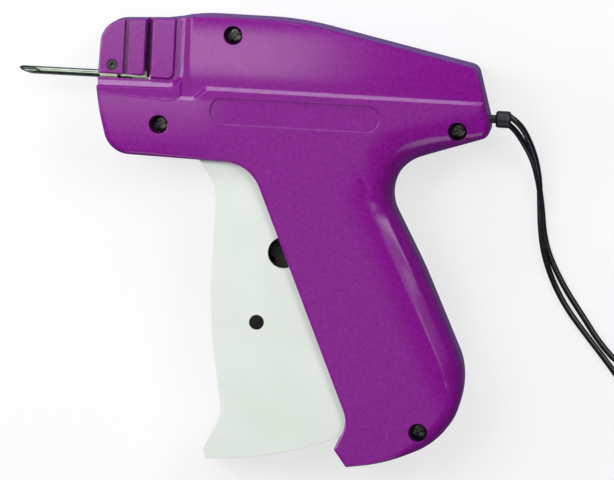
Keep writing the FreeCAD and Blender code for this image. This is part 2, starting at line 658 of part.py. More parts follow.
def drive_pin():
    """Headed pin across the trigger, its ends just under the side plates' faces."""
    low, high = TRIGGER_LOW + RUN_FIT, TRIGGER_HIGH - RUN_FIT
    head = DRIVE_HEAD_H - RUN_FIT
    return joined([post(*DRIVE_PIN_AT, DRIVE_PIN_R, low, high),
                   post(*DRIVE_PIN_AT, DRIVE_HEAD_R, low, low + head),
                   post(*DRIVE_PIN_AT, DRIVE_HEAD_R, high - head, high)])


def drive_roller():
    low, high = ARM_LOW + GAP, ARM_HIGH - GAP
    return less(post(*DRIVE_PIN_AT, ROLLER_R, low, high), [post(*DRIVE_PIN_AT, DRIVE_PIN_R + RUN_FIT, low - 1, high + 1)])


def leaf(start, end, spread, z_low, z_high):
    """Flat spring between two points of the XY plane."""
    along = vector(*end) - vector(*start)
    along.normalize()
    side = vector(-along.y, along.x) * (LEAF / 2 + spread)
    a, b = vector(*start) - along * spread, vector(*end) + along * spread
    corners = [(a - side), (b - side), (b + side), (a + side)]
    return prism([(p.x, p.y, 0.0) for p in corners], z_low, z_high)


def feed_pawl(spread=0.0):
    """Leaf in the trigger's horn. Its tip passes just outside the ratchet's teeth."""
    wheel = math.hypot(*WHEEL_AT)
    reach = wheel - RATCHET_R - LEAF_REACH
    angle = math.atan2(WHEEL_AT[1], WHEEL_AT[0]) - math.radians(PAWL_LEAD)
    tip = (reach * math.cos(angle), reach * math.sin(angle))
    root = PAWL_ROOT
    over = vector(*root) - vector(*tip)
    over.normalize()
    side = vector(-over.y, over.x) * (LEAF / 2)
    side = side if side.y < 0 else side * -1
    return leaf((root[0] + side.x, root[1] + side.y), (tip[0] + side.x, tip[1] + side.y), spread,
                RATCHET_Z + 0.1 - spread, RATCHET_Z + RATCHET_THICK - 0.1 + spread)


def detent_leaf(spread=0.0):
    """Leaf in the right shell's post that stops the feed wheel from turning back."""
    reach = RATCHET_R + LEAF_REACH + LEAF
    angle = math.radians(DETENT_TURN)
    tip = (WHEEL_AT[0] + reach * math.cos(angle), WHEEL_AT[1] + reach * math.sin(angle))
    return leaf(DETENT_ROOT, tip, spread, RATCHET_Z + 0.1 - spread, RATCHET_Z + RATCHET_THICK - 0.1 + spread)


# ---------------------------------------------------------------- swing arm and slider
def cam_path():
    """Where the drive pin stands against the arm, seen from the arm, over the trigger's travel."""
    path = []
    steps = 8
    for i in range(steps + 1):
        trigger_turn = TRIGGER_TRAVEL * i / steps
        arm_turn = ARM_SWING * i / steps
        x, y = turned(*DRIVE_PIN_AT, trigger_turn)
        x, y = turned(x - ARM_AT[0], y - ARM_AT[1], -arm_turn)
        path.append((x + ARM_AT[0], y + ARM_AT[1]))
    return path


def swing_arm():
    path = cam_path()
    first, last = path[0], path[-1]
    slot = ROLLER_R + RUN_FIT
    lower = [
        (ARM_AT[0] + ARM_EYE_R - 0.5, ARM_AT[1] - 2.0, 2.0),
        (ARM_AT[0] + 1.0, ARM_AT[1] + ARM_EYE_R - 0.5, 2.0),
        (last[0] - 3.0, last[1] + slot + ARM_RIM, 4.0),
        (last[0] - slot - ARM_RIM, last[1], 6.0),
        (first[0] - slot - ARM_RIM, first[1], 4.0),
        (first[0] + slot + ARM_RIM, first[1] - 1.0, 4.0),
    ]
    along = vector(HEAD_PIN_AT[0] - ARM_AT[0], HEAD_PIN_AT[1] - ARM_AT[1])
    along.normalize()
    side = vector(-along.y, along.x)
    root, head = vector(*ARM_AT), vector(*HEAD_PIN_AT)
    upper = [root - side * (ARM_EYE_R - 0.5), head - side * (ARM_HEAD_R - 0.1), head + side * (ARM_HEAD_R - 0.1),
             root + side * (ARM_EYE_R - 0.5)]
    shape = joined([
        prism(lower, ARM_LOW, ARM_HIGH),
        prism([(p.x, p.y, 0.0) for p in upper], ARM_LOW, ARM_HIGH),
        band(path, slot + ARM_RIM).extrude(vector(0, 0, ARM_THICK)).translate(vector(0, 0, ARM_LOW)),
        post(*ARM_AT, ARM_EYE_R, ARM_LOW, ARM_HIGH),
        post(*ARM_AT, ARM_HUB_R, ARM_BOSS_TOP + GAP, BODY_WIDTH - ARM_BOSS_TOP - GAP),
        post(*HEAD_PIN_AT, ARM_HEAD_R, ARM_LOW, ARM_HIGH),
    ])
    cam = band(path, slot).extrude(vector(0, 0, ARM_THICK + 2)).translate(vector(0, 0, ARM_LOW - 1))
    return less(shape, [
        cam,
        post(*ARM_AT, ARM_PIN_R + RUN_FIT, 0, BODY_WIDTH),
        post(*HEAD_PIN_AT, HEAD_PIN_R + SNUG, 0, BODY_WIDTH),
    ])


def slider():
    front, rear = SLIDER_FRONT_X, SLIDER_REAR_X
    play = HEAD_PIN_R + PIN_PLAY
    low_y, high_y = HEAD_PIN_AT[1] - HEAD_PIN_R - GAP, HEAD_PIN_AT[1] + PIN_RISE + HEAD_PIN_R + GAP
    shape = block((front, SLIDER_LOW, CHEEK_LOW), (rear, SLIDER_HIGH, CHEEK_HIGH))
    return less(shape, [
        block((front + SLIDER_BRIDGE, -FAR, CHEEK_LOW + SLIDER_CHEEK), (rear + 1, FAR, CHEEK_HIGH - SLIDER_CHEEK)),
        block((HEAD_PIN_AT[0] - play, low_y, 0), (HEAD_PIN_AT[0] + play, high_y, BODY_WIDTH)),
        bar(ROD_R + SNUG, front - 1, front + SLIDER_BRIDGE + 1),
    ])


def push_rod():
    return bar(ROD_R, ROD_TIP_X, SLIDER_FRONT_X + SLIDER_BRIDGE)


def rod_guide():
    shape = bar(GUIDE_R, GUIDE_REAR_X - GUIDE_LENGTH, GUIDE_REAR_X)
    return less(shape, [bar(ROD_R + RUN_FIT, GUIDE_REAR_X - GUIDE_LENGTH - 1, GUIDE_REAR_X + 1)])


def return_spring():
    """Compression spring round the push rod, from the guide back to the slider."""
    start = GUIDE_REAR_X + SPRING_WIRE_R + 0.1
    length = SLIDER_FRONT_X - start - SPRING_WIRE_R - 0.1
    helix = Part.makeHelix(length / SPRING_COILS, length, SPRING_R)
    profile = Part.Wire([Part.makeCircle(SPRING_WIRE_R, vector(SPRING_R, 0, 0), vector(0, 1, 0))])
    coil = Part.Wire(helix).makePipeShell([profile], True, True)
    coil.rotate(vector(0, 0, 0), vector(0, 1, 0), 90)
    coil.translate(vector(start, NEEDLE_Y, MID))
    return coil


# ---------------------------------------------------------------- feed, needle and cutter
def star(count, outer, root, lean):
    """Corners of a toothed wheel. lean 0 gives even teeth, 1 gives ratchet teeth."""
    corners = []
    pitch = 360.0 / count
    for i in range(count):
        for radius, share in ((outer, 0.0), (outer, 0.2), (root, 0.5 - 0.25 * lean), (root, 0.75 + 0.2 * lean)):
            angle = math.radians(pitch * (i + share))
            corners.append((WHEEL_AT[0] + radius * math.cos(angle), WHEEL_AT[1] + radius * math.sin(angle), 0.0))
    return corners


def feed_wheel():
    low, high = MID - WHEEL_THICK / 2, MID + WHEEL_THICK / 2
    inner = HEAD_DROP + HEAD_SKIN + GAP
    shape = joined([
        prism(star(WHEEL_TEETH, WHEEL_R, WHEEL_R - WHEEL_TOOTH, 0), low, high),
        prism(star(WHEEL_TEETH, RATCHET_R, RATCHET_R - RATCHET_TOOTH, 1), RATCHET_Z, RATCHET_Z + RATCHET_THICK),
        post(*WHEEL_AT, FEED_HUB_R, inner, BODY_WIDTH - inner),
    ])
    return less(shape, [post(*WHEEL_AT, FEED_SHAFT_R + SNUG, 0, BODY_WIDTH)])


def feed_shaft():
    end = HEAD_DROP + HEAD_SKIN - 1.0 + RUN_FIT
    return post(*WHEEL_AT, FEED_SHAFT_R, end, BODY_WIDTH - end)


def slit_cutter(width, start_x, end_x, depth):
    """Radial slot along the needle, turned from straight up towards the handle."""
    slot = block((start_x, NEEDLE_Y - width / 2, MID), (end_x, NEEDLE_Y + width / 2, MID + depth))
    slot.rotate(vector(0, NEEDLE_Y, MID), vector(1, 0, 0), NEEDLE_SLIT_TURN)
    return slot


def needle():
    """Slotted steel tube with a slanted mouth."""
    tube = less(bar(NEEDLE_R, NEEDLE_TIP_X, NEEDLE_REAR_X), [bar(NEEDLE_BORE_R, NEEDLE_TIP_X - 1, NEEDLE_REAR_X + 1)])
    tip = vector(NEEDLE_TIP_X, NEEDLE_Y, MID - NEEDLE_R)
    slope = math.degrees(math.atan2(2 * NEEDLE_R, NEEDLE_POINT))
    mouth = block((NEEDLE_TIP_X - 20, NEEDLE_Y - 10, tip.z), (NEEDLE_TIP_X + 20, NEEDLE_Y + 10, tip.z + 20))
    mouth.rotate(tip, vector(0, 1, 0), -slope)
    mouth.rotate(vector(0, NEEDLE_Y, MID), vector(1, 0, 0), NEEDLE_SLIT_TURN)
    return less(tube, [mouth, slit_cutter(NEEDLE_SLIT, NEEDLE_TIP_X - 1, NEEDLE_REAR_X + 1, 2 * NEEDLE_R)])


def needle_base():
    """Steel block on the needle, with the notch that the lock shaft holds it by."""
    end = BASE_FRONT_X + BASE_LENGTH
    shape = block((BASE_FRONT_X, NEEDLE_Y - BASE_HEIGHT / 2, MID - BASE_WIDTH / 2),
                  (end, NEEDLE_Y + BASE_HEIGHT / 2, MID + BASE_WIDTH / 2))
    return less(shape, [
        bar(NEEDLE_R + SNUG, BASE_FRONT_X - 1, end + 1),
        slit_cutter(NEEDLE_SLIT, BASE_FRONT_X - 1, end + 1, BASE_WIDTH),
        post(*LOCK_AT, LOCK_NECK_R + RUN_FIT, 0, BODY_WIDTH),
    ])


def cutter_blank(spread=0.0):
    low = CHUTE_FLOOR_Y - CUTTER_WALL
    half = CHUTE_WIDTH / 2 + CUTTER_WALL
    return block((CUTTER_FRONT_X - spread, low - spread, MID - half - spread),
                 (CUTTER_FRONT_X + CUTTER_LENGTH + spread, low + CUTTER_HEIGHT + spread, MID + half + spread))


def cutter_blade():
    """Steel trough at the foot of the chute. Its fork leads the runner to the edge that shears it."""
    channel = block((CHUTE_FRONT_X, CHUTE_FLOOR_Y, MID - CHUTE_WIDTH / 2), (FAR, FAR, MID + CHUTE_WIDTH / 2))
    mouth = FORK_REAR_X - FORK_WIDTH
    foot = FORK_REAR_X - FORK_WIDTH / 2 - FORK_FOOT / 2
    top = CHUTE_FLOOR_Y - CUTTER_WALL + CUTTER_HEIGHT + STEP
    fork = prism([(mouth, top, 0.0), (foot, FORK_FOOT_Y, 0.0), (foot + FORK_FOOT, FORK_FOOT_Y, 0.0),
                  (FORK_REAR_X, top, 0.0)], MID, BODY_WIDTH)
    shoulder = prism([(CHUTE_FRONT_X, top - FORK_STAND, 0.0), (mouth - FORK_SHOULDER, top - FORK_STAND, 0.0),
                      (mouth, top, 0.0), (CHUTE_FRONT_X, top, 0.0)], MID, BODY_WIDTH)
    behind = block((mouth - FORK_SHOULDER, FORK_FOOT_Y, 0), (FORK_REAR_X + FORK_SHOULDER, top, MID))
    return less(cutter_blank(), [
        channel,
        fork,
        shoulder,
        behind,
        bar(NEEDLE_R + SNUG, CUTTER_FRONT_X - 1, CHUTE_FRONT_X + STEP),
        slit_cutter(NEEDLE_SLIT, CUTTER_FRONT_X - 1, foot + FORK_FOOT, BODY_WIDTH),
    ])


def lock_shaft():
    """Shaft whose round side holds the needle's base and whose flat lets it go after a quarter turn."""
    top = HEAD_LEFT - 0.15
    lever_top = HEAD_DROP - GAP
    neck_low, neck_high = MID - BASE_WIDTH / 2 - GAP, MID + BASE_WIDTH / 2 + GAP
    shaft = joined([post(*LOCK_AT, LOCK_R, lever_top, neck_low), post(*LOCK_AT, LOCK_NECK_R, neck_low, neck_high),
                    post(*LOCK_AT, LOCK_R, neck_high, top),
                    post(*LOCK_AT, LOCK_TAIL_R, lever_top - LEVER_THICK + LEVER_SKIN, lever_top)])
    flat = block((LOCK_AT[0] - LOCK_R - 1, LOCK_AT[1] - LOCK_R - 1, neck_low),
                 (LOCK_AT[0] - LOCK_FLAT, LOCK_AT[1] + LOCK_R + 1, neck_high))
    dimple = Part.makeCone(0.0, 0.8, 0.6, vector(*LOCK_AT, top - 0.5), vector(0, 0, 1))
    return less(shaft, [flat, dimple])


def lock_lever():
    """Thumb lever on the right side of the head."""
    high = HEAD_DROP - GAP
    low = high - LEVER_THICK
    x, y = LOCK_AT
    half = LEVER_WIDTH / 2
    arm = prism([(x, y - half, 0.0), (x + LEVER_REACH, y - half + 0.5, half - 0.6), (x + LEVER_REACH, y + half - 0.5, half - 0.6),
                 (x, y + half, 0.0)], low, high)
    shape = joined([post(x, y, LEVER_HUB_R, low, high), arm])
    ridges = [block((x + 5.5 + 1.6 * i, y - half - 1, low - 1), (x + 6.2 + 1.6 * i, y + half + 1, low + 0.5)) for i in range(4)]
    return less(shape, ridges + [post(x, y, LOCK_TAIL_R + SNUG, low + LEVER_SKIN - SNUG, high + 1)])


# ---------------------------------------------------------------- fixed pins
def trigger_pivot_pin():
    end = WALL - 1.0 + RUN_FIT
    return post(0, 0, PIVOT_PIN_R, end, BODY_WIDTH - end)


def arm_pivot_pin():
    end = WALL - 1.0 + RUN_FIT
    return post(*ARM_AT, ARM_PIN_R, end, BODY_WIDTH - end)


def arm_head_pin():
    return post(*HEAD_PIN_AT, HEAD_PIN_R, CHEEK_LOW + 0.2, CHEEK_HIGH - 0.2)


# ---------------------------------------------------------------- wrist strap
def strap_anchor():
    """Headed stud in the rear wall that the strap's bead hangs from."""
    inner_x = ANCHOR_END_X - 4.2
    return joined([bar(ANCHOR_NECK_R, inner_x - 1, ANCHOR_END_X, ANCHOR_Y),
                   bar(ANCHOR_FLANGE_R, inner_x - ANCHOR_FLANGE, inner_x, ANCHOR_Y)])


def bead_axis():
    """Where the bead starts, and the way it points."""
    start, end = STRAP_ROUTE[0], STRAP_ROUTE[-1]
    middle = vector((start[0] + end[0]) / 2, (start[1] + end[1]) / 2, MID)
    along = middle - vector(ANCHOR_END_X, ANCHOR_Y, MID)
    return middle, along.normalize()


def strap_bead():
    """Moulded bead round both legs of the strap, which go a little way into it."""
    end, along = bead_axis()
    start = vector(ANCHOR_END_X, ANCHOR_Y, MID)
    shape = Part.makeCylinder(BEAD_R, end.distanceToPoint(start) + BEAD_LAP, start, along)
    shape = shape.makeFillet(BEAD_EASE, [e for e in shape.Edges if e.Curve.TypeId == "Part::GeomCircle"])
    legs = []
    for here, after in (STRAP_ROUTE[:2], STRAP_ROUTE[:-3:-1]):
        here, out = vector(*here), (vector(*after) - vector(*here)).normalize()
        legs.append(Part.makeCylinder(STRAP_R + SNUG, 3 * BEAD_R, here - out * SNUG, out))
    return less(shape, legs)


def tube_path(points):
    """Straight runs joined by tangent arcs as large as the runs allow."""
    corners = [vector(*p) for p in points]
    edges, radii = [], []
    last = corners[0]
    for before, here, after in zip(corners, corners[1:], corners[2:]):
        back, ahead = before - here, after - here
        short = min(back.Length, ahead.Length)
        back.normalize()
        ahead.normalize()
        half_turn = (math.pi - back.getAngle(ahead)) / 2
        reach = 0.45 * short
        radius = reach / math.tan(half_turn)
        inward = (back + ahead).normalize()
        centre = here + inward * (radius / math.cos(half_turn))
        start, end = here + back * reach, here + ahead * reach
        edges.append(Part.LineSegment(last, start).toShape())
        edges.append(Part.Arc(start, centre - inward * radius, end).toShape())
        last = end
        radii.append(radius)
    edges.append(Part.LineSegment(last, corners[-1]).toShape())
    return Part.Wire(edges), radii


def wrist_strap():
    """Both legs of the loop as one cord."""
    path, radii = tube_path(STRAP_ROUTE)
    start = vector(*STRAP_ROUTE[0])
    profile = Part.Wire([Part.makeCircle(STRAP_R, start, vector(*STRAP_ROUTE[1]) - start)])
    tube = path.makePipeShell([profile], True, True)
    print("strap: length %.1f mm, radii %s" % (path.Length, " ".join("%.1f" % r for r in radii)))
    print("strap: volume %.1f, section times length %.1f" % (tube.Volume, math.pi * STRAP_R ** 2 * path.Length))
    return tube


NODES = {
    "left_shell": left_shell,
    "right_shell": right_shell,
    "housing_screws": housing_screws,
    "trigger": trigger,
    "trigger_pivot_pin": trigger_pivot_pin,
    "drive_pin": drive_pin,
    "drive_roller": drive_roller,
    "swing_arm": swing_arm,
    "arm_pivot_pin": arm_pivot_pin,
    "arm_head_pin": arm_head_pin,
    "slider": slider,
    "push_rod": push_rod,
    "rod_guide": rod_guide,
    "return_spring": return_spring,
    "feed_wheel": feed_wheel,
    "feed_shaft": feed_shaft,
    "feed_pawl": feed_pawl,
    "detent_leaf": detent_leaf,
    "cutter_blade": cutter_blade,
    "needle": needle,
    "needle_base": needle_base,
    "lock_shaft": lock_shaft,
    "lock_lever": lock_lever,
    "strap_anchor": strap_anchor,
    "strap_bead": strap_bead,
    "wrist_strap": wrist_strap,
}

os.makedirs("parts", exist_ok=True)
print("stroke %.3f mm, arm ratio %.4f, slide ratio %.6f m/rad" %
      (STROKE, ARM_SWING / TRIGGER_TRAVEL, STROKE / 1000 / math.radians(TRIGGER_TRAVEL)))
print("arm pivot (%.3f, %.3f)" % ARM_AT)
for node, build in NODES.items():
    save(node, build())
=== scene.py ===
"""Garment tag attacher: its camera, its light, its finishes and the pieces that are modelled here.

Lengths are metres. +X runs from the needle back to the rear of the body, +Y from the handle up to the body
and +Z from the right side, which the gun lies on, up to the left side.
"""
import json
import logging
import math
from dataclasses import dataclass, field
from enum import Enum
from typing import Callable, Optional, Sequence

import bmesh
import bpy
from mathutils import Matrix, Vector

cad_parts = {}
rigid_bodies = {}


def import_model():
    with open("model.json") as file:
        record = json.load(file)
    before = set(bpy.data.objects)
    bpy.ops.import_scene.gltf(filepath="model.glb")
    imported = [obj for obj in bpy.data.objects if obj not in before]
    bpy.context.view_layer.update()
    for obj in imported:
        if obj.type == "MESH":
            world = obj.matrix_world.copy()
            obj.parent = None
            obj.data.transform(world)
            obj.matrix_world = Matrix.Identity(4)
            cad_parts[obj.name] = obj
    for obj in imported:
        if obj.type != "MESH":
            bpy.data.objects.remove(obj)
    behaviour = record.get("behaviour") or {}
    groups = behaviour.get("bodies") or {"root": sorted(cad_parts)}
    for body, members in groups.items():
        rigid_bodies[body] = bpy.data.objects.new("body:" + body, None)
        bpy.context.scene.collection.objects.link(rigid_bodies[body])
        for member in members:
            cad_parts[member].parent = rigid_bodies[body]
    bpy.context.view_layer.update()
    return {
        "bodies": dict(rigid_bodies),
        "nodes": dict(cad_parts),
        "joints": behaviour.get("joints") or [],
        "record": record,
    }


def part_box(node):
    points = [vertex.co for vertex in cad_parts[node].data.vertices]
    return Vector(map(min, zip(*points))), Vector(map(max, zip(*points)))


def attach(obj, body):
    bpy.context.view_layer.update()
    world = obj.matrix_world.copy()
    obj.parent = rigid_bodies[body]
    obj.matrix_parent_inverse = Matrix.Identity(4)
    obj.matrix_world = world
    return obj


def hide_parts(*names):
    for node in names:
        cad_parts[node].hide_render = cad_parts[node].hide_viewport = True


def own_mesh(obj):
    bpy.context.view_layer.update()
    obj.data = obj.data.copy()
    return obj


LOG = logging.getLogger("tag_attacher")
MM = 0.001
Colour = tuple[float, float, float]
Point = tuple[float, float, float]
Direction = tuple[float, float]
Socket = bpy.types.NodeSocket


def srgb(red: int, green: int, blue: int) -> Colour:
    """Turns a display colour into the linear one that shaders use.

    Args:
        red: Red, 0 to 255.
        green: Green, 0 to 255.
        blue: Blue, 0 to 255.

    Returns:
        The linear colour.
    """
    def linear(level: int) -> float:
        """Linear value of one display level."""
        share = level / 255
        return share / 12.92 if share <= 0.04045 else ((share + 0.055) / 1.055) ** 2.4

    return linear(red), linear(green), linear(blue)


# ---------------------------------------------------------------- shader groups
GRAIN_SCALE = 3800.0
TONE_SCALE = 45.0
GLOSS_TO_TONE = 2.6
LINE_SCALE = 2600.0
STAIN_SCALE = 220.0
SCRATCH_SCALE = 900.0
RUB_SCALE = 70.0


class GroupName(Enum):
    """The effects that several finishes share."""

    MOULDED_SKIN = "moulded_skin"
    DRAWN_STEEL = "drawn_steel"
    HANDLING_WEAR = "handling_wear"
    MOULDED_CROWN = "moulded_crown"


class GroupBuilder:
    """Builds one shader node group, with named inputs and outputs."""

    def __init__(self, name: GroupName) -> None:
        """Starts an empty group.

        Args:
            name: Which effect the group gives.
        """
        self.tree = bpy.data.node_groups.new(name.value, "ShaderNodeTree")
        self.entry = self.tree.nodes.new("NodeGroupInput")
        self.exit = self.tree.nodes.new("NodeGroupOutput")

    def takes(self, name: str, kind: str, default: Optional[float] = None) -> None:
        """Adds an input socket.

        Args:
            name: The socket's name.
            kind: Its type, such as NodeSocketFloat.
            default: Its value where nothing is linked.
        """
        socket = self.tree.interface.new_socket(name=name, in_out="INPUT", socket_type=kind)
        if default is not None:
            socket.default_value = default

    def gives(self, name: str, kind: str = "NodeSocketFloat") -> None:
        """Adds an output socket for something that changes over the surface.

        Args:
            name: The socket's name.
            kind: Its type.
        """
        self.tree.interface.new_socket(name=name, in_out="OUTPUT", socket_type=kind)

    def noise(self, scale: str, detail: float, roughness: float, stretch: Optional[Point] = None) -> Socket:
        """Adds a noise texture whose scale is one of the group's inputs.

        Args:
            scale: Name of the input that sets its scale.
            detail: Number of octaves.
            roughness: How strong the finer octaves are.
            stretch: Scale along each axis, for streaks.

        Returns:
            The noise, 0 to 1.
        """
        node = self.tree.nodes.new("ShaderNodeTexNoise")
        node.inputs["Detail"].default_value = detail
        node.inputs["Roughness"].default_value = roughness
        source = self.entry.outputs["Vector"]
        if stretch:
            mapping = self.tree.nodes.new("ShaderNodeMapping")
            mapping.inputs["Scale"].default_value = stretch
            self.tree.links.new(source, mapping.inputs["Vector"])
            source = mapping.outputs["Vector"]
        self.tree.links.new(source, node.inputs["Vector"])
        self.tree.links.new(self.entry.outputs[scale], node.inputs["Scale"])
        return node.outputs["Fac"]

    def ramp(self, source: Socket, low: float, high: float) -> Socket:
        """Stretches values between low and high over 0 to 1.

        Args:
            source: The value to stretch.
            low: What becomes 0.
            high: What becomes 1.

        Returns:
            The stretched value.
        """
        node = self.tree.nodes.new("ShaderNodeMapRange")
        node.interpolation_type = "SMOOTHSTEP"
        node.inputs["From Min"].default_value = low
        node.inputs["From Max"].default_value = high
        self.tree.links.new(source, node.inputs["Value"])
        return node.outputs["Result"]

    def join(self, operation: str, first: Socket, second: Socket) -> Socket:
        """Joins two values with a math operation.

        Args:
            operation: The operation's name, such as MULTIPLY.
            first: First value.
            second: Second value.

        Returns:
            The result.
        """
        node = self.tree.nodes.new("ShaderNodeMath")
        node.operation = operation
        self.tree.links.new(first, node.inputs[0])
        self.tree.links.new(second, node.inputs[1])
        return node.outputs[0]

    def along(self, direction: Direction) -> Socket:
        """Distance of the surface from the origin along a direction of the XY plane."""
        node = self.tree.nodes.new("ShaderNodeVectorMath")
        node.operation = "DOT_PRODUCT"
        node.inputs[1].default_value = (*direction, 0.0)
        self.tree.links.new(self.entry.outputs["Vector"], node.inputs[0])
        return node.outputs["Value"]

    def stretch(self, source: Socket, start: float, end: float, low: float, high: float) -> Socket:
        """Value that runs evenly from low to high as the source runs from start to end.

        Args:
            source: The value to stretch.
            start: Where the low value ends.
            end: Where the high value begins.
            low: Value up to the start.
            high: Value from the end on.

        Returns:
            The stretched value.
        """
        node = self.tree.nodes.new("ShaderNodeMapRange")
        for name, value in (("From Min", start), ("From Max", end), ("To Min", low), ("To Max", high)):
            node.inputs[name].default_value = value
        self.tree.links.new(source, node.inputs["Value"])
        return node.outputs["Result"]

    def deliver(self, name: str, value: Socket) -> None:
        """Links a value to one of the group's outputs."""
        self.tree.links.new(value, self.exit.inputs[name])


def moulded_skin() -> bpy.types.NodeTree:
    """Builds the skin of an injection moulding: fine spark-eroded grain and slow changes of tone and gloss.

    Returns:
        The group's tree.
    """
    group = GroupBuilder(GroupName.MOULDED_SKIN)
    group.takes("Vector", "NodeSocketVector")
    group.takes("Grain Scale", "NodeSocketFloat", GRAIN_SCALE)
    group.takes("Tone Scale", "NodeSocketFloat", TONE_SCALE)
    for name in ("Grain", "Tone", "Gloss"):
        group.gives(name)
    grain = group.noise("Grain Scale", detail=2.0, roughness=0.55)
    tone = group.noise("Tone Scale", detail=3.0, roughness=0.5)
    gloss = group.noise("Tone Scale", detail=4.0, roughness=0.65, stretch=(GLOSS_TO_TONE,) * 3)
    group.deliver("Grain", group.ramp(grain, low=0.25, high=0.75))
    group.deliver("Tone", group.ramp(tone, low=0.3, high=0.7))
    group.deliver("Gloss", group.ramp(gloss, low=0.28, high=0.72))
    return group.tree


def drawn_steel() -> bpy.types.NodeTree:
    """Builds the lines that drawing or grinding along X leaves on steel.

    Returns:
        The group's tree.
    """
    group = GroupBuilder(GroupName.DRAWN_STEEL)
    group.takes("Vector", "NodeSocketVector")
    group.takes("Line Scale", "NodeSocketFloat", LINE_SCALE)
    group.takes("Stain Scale", "NodeSocketFloat", STAIN_SCALE)
    for name in ("Lines", "Stain"):
        group.gives(name)
    lines = group.noise("Line Scale", detail=3.0, roughness=0.6, stretch=(0.035, 1.0, 1.0))
    stain = group.noise("Stain Scale", detail=4.0, roughness=0.6)
    group.deliver("Lines", group.ramp(lines, low=0.25, high=0.75))
    group.deliver("Stain", group.ramp(stain, low=0.4, high=0.75))
    return group.tree


def handling_wear() -> bpy.types.NodeTree:
    """Builds the hairline scratches and the dull rub marks of a hand tool.

    Returns:
        The group's tree.
    """
    group = GroupBuilder(GroupName.HANDLING_WEAR)
    group.takes("Vector", "NodeSocketVector")
    group.takes("Scratch Scale", "NodeSocketFloat", SCRATCH_SCALE)
    group.takes("Rub Scale", "NodeSocketFloat", RUB_SCALE)
    for name in ("Scratches", "Rub"):
        group.gives(name)
    rub = group.ramp(group.noise("Rub Scale", detail=5.0, roughness=0.7), low=0.52, high=0.8)
    along = group.noise("Scratch Scale", detail=2.0, roughness=0.5, stretch=(0.03, 1.0, 0.4))
    across = group.noise("Scratch Scale", detail=2.0, roughness=0.5, stretch=(0.8, 0.03, 0.4))
    hairs = group.join("MAXIMUM", group.ramp(along, low=0.72, high=0.8),
                       group.ramp(across, low=0.73, high=0.81))
    group.deliver("Scratches", group.join("MULTIPLY", hairs, rub))
    group.deliver("Rub", rub)
    return group.tree


@dataclass(frozen=True)
class Window:
    """Where a lean fades in: from start to end, in millimetres along a direction of the XY plane."""

    towards: Direction
    start: float
    end: float


@dataclass(frozen=True)
class Lean:
    """How a nearly flat face leans in one direction: from low to high, in degrees, over a stretch of it.

    The stretch runs from start to end, in millimetres along the same direction.
    """

    towards: Direction
    start: float
    end: float
    low: float
    high: float
    windows: tuple[Window, ...]


BACK: Direction = (1.0, 0.0)
FORWARD: Direction = (-1.0, 0.0)
UP: Direction = (0.0, 1.0)
DOWN: Direction = (0.0, -1.0)
ACROSS_HANDLE: Direction = (0.889, 0.458)
DOWN_AND_BACK: Direction = (0.24, -0.97)

ON_UPPER_BODY = (Window(BACK, -9.8, -8.6), Window(UP, 6.0, 8.5))
ON_LOWER_HEAD = (Window(FORWARD, -18.0, 8.0), Window(DOWN, -4.2, -2.8))
ON_HEAD_PANEL = (Window(FORWARD, 11.5, 13.0),)
ON_HANDLE = (Window(DOWN, 12.0, 30.0),)
ON_HANDLE_ROOT = (Window(BACK, 42.0, 62.0), Window(UP, -32.0, -18.0))

HOUSING_CROWN: tuple[Lean, ...] = (
    Lean(UP, 7.0, 31.0, 0.0, 17.0, ON_UPPER_BODY),
    Lean(BACK, -8.0, 85.0, -1.0, 4.0, ON_UPPER_BODY),
    Lean(UP, -12.0, -8.5, -5.0, 3.1, ON_LOWER_HEAD),
    Lean(UP, -8.5, 2.0, 0.0, 0.9, ON_LOWER_HEAD),
    Lean(UP, 7.5, 9.5, 0.0, 3.0, ON_HEAD_PANEL),
    Lean(ACROSS_HANDLE, 22.0, 32.0, 0.0, 5.5, ON_HANDLE),
    Lean(ACROSS_HANDLE, 32.3, 33.3, 0.0, 4.9, ON_HANDLE),
    Lean(ACROSS_HANDLE, 34.4, 36.7, 0.0, -18.3, ON_HANDLE),
    Lean(ACROSS_HANDLE, 36.7, 37.5, 0.0, 8.2, ON_HANDLE),
    Lean(DOWN_AND_BACK, 13.0, 22.0, 0.0, 12.0, ON_HANDLE_ROOT),
)
CROWN_BEGINS = 0.35
CROWN_IS_FULL = 0.97


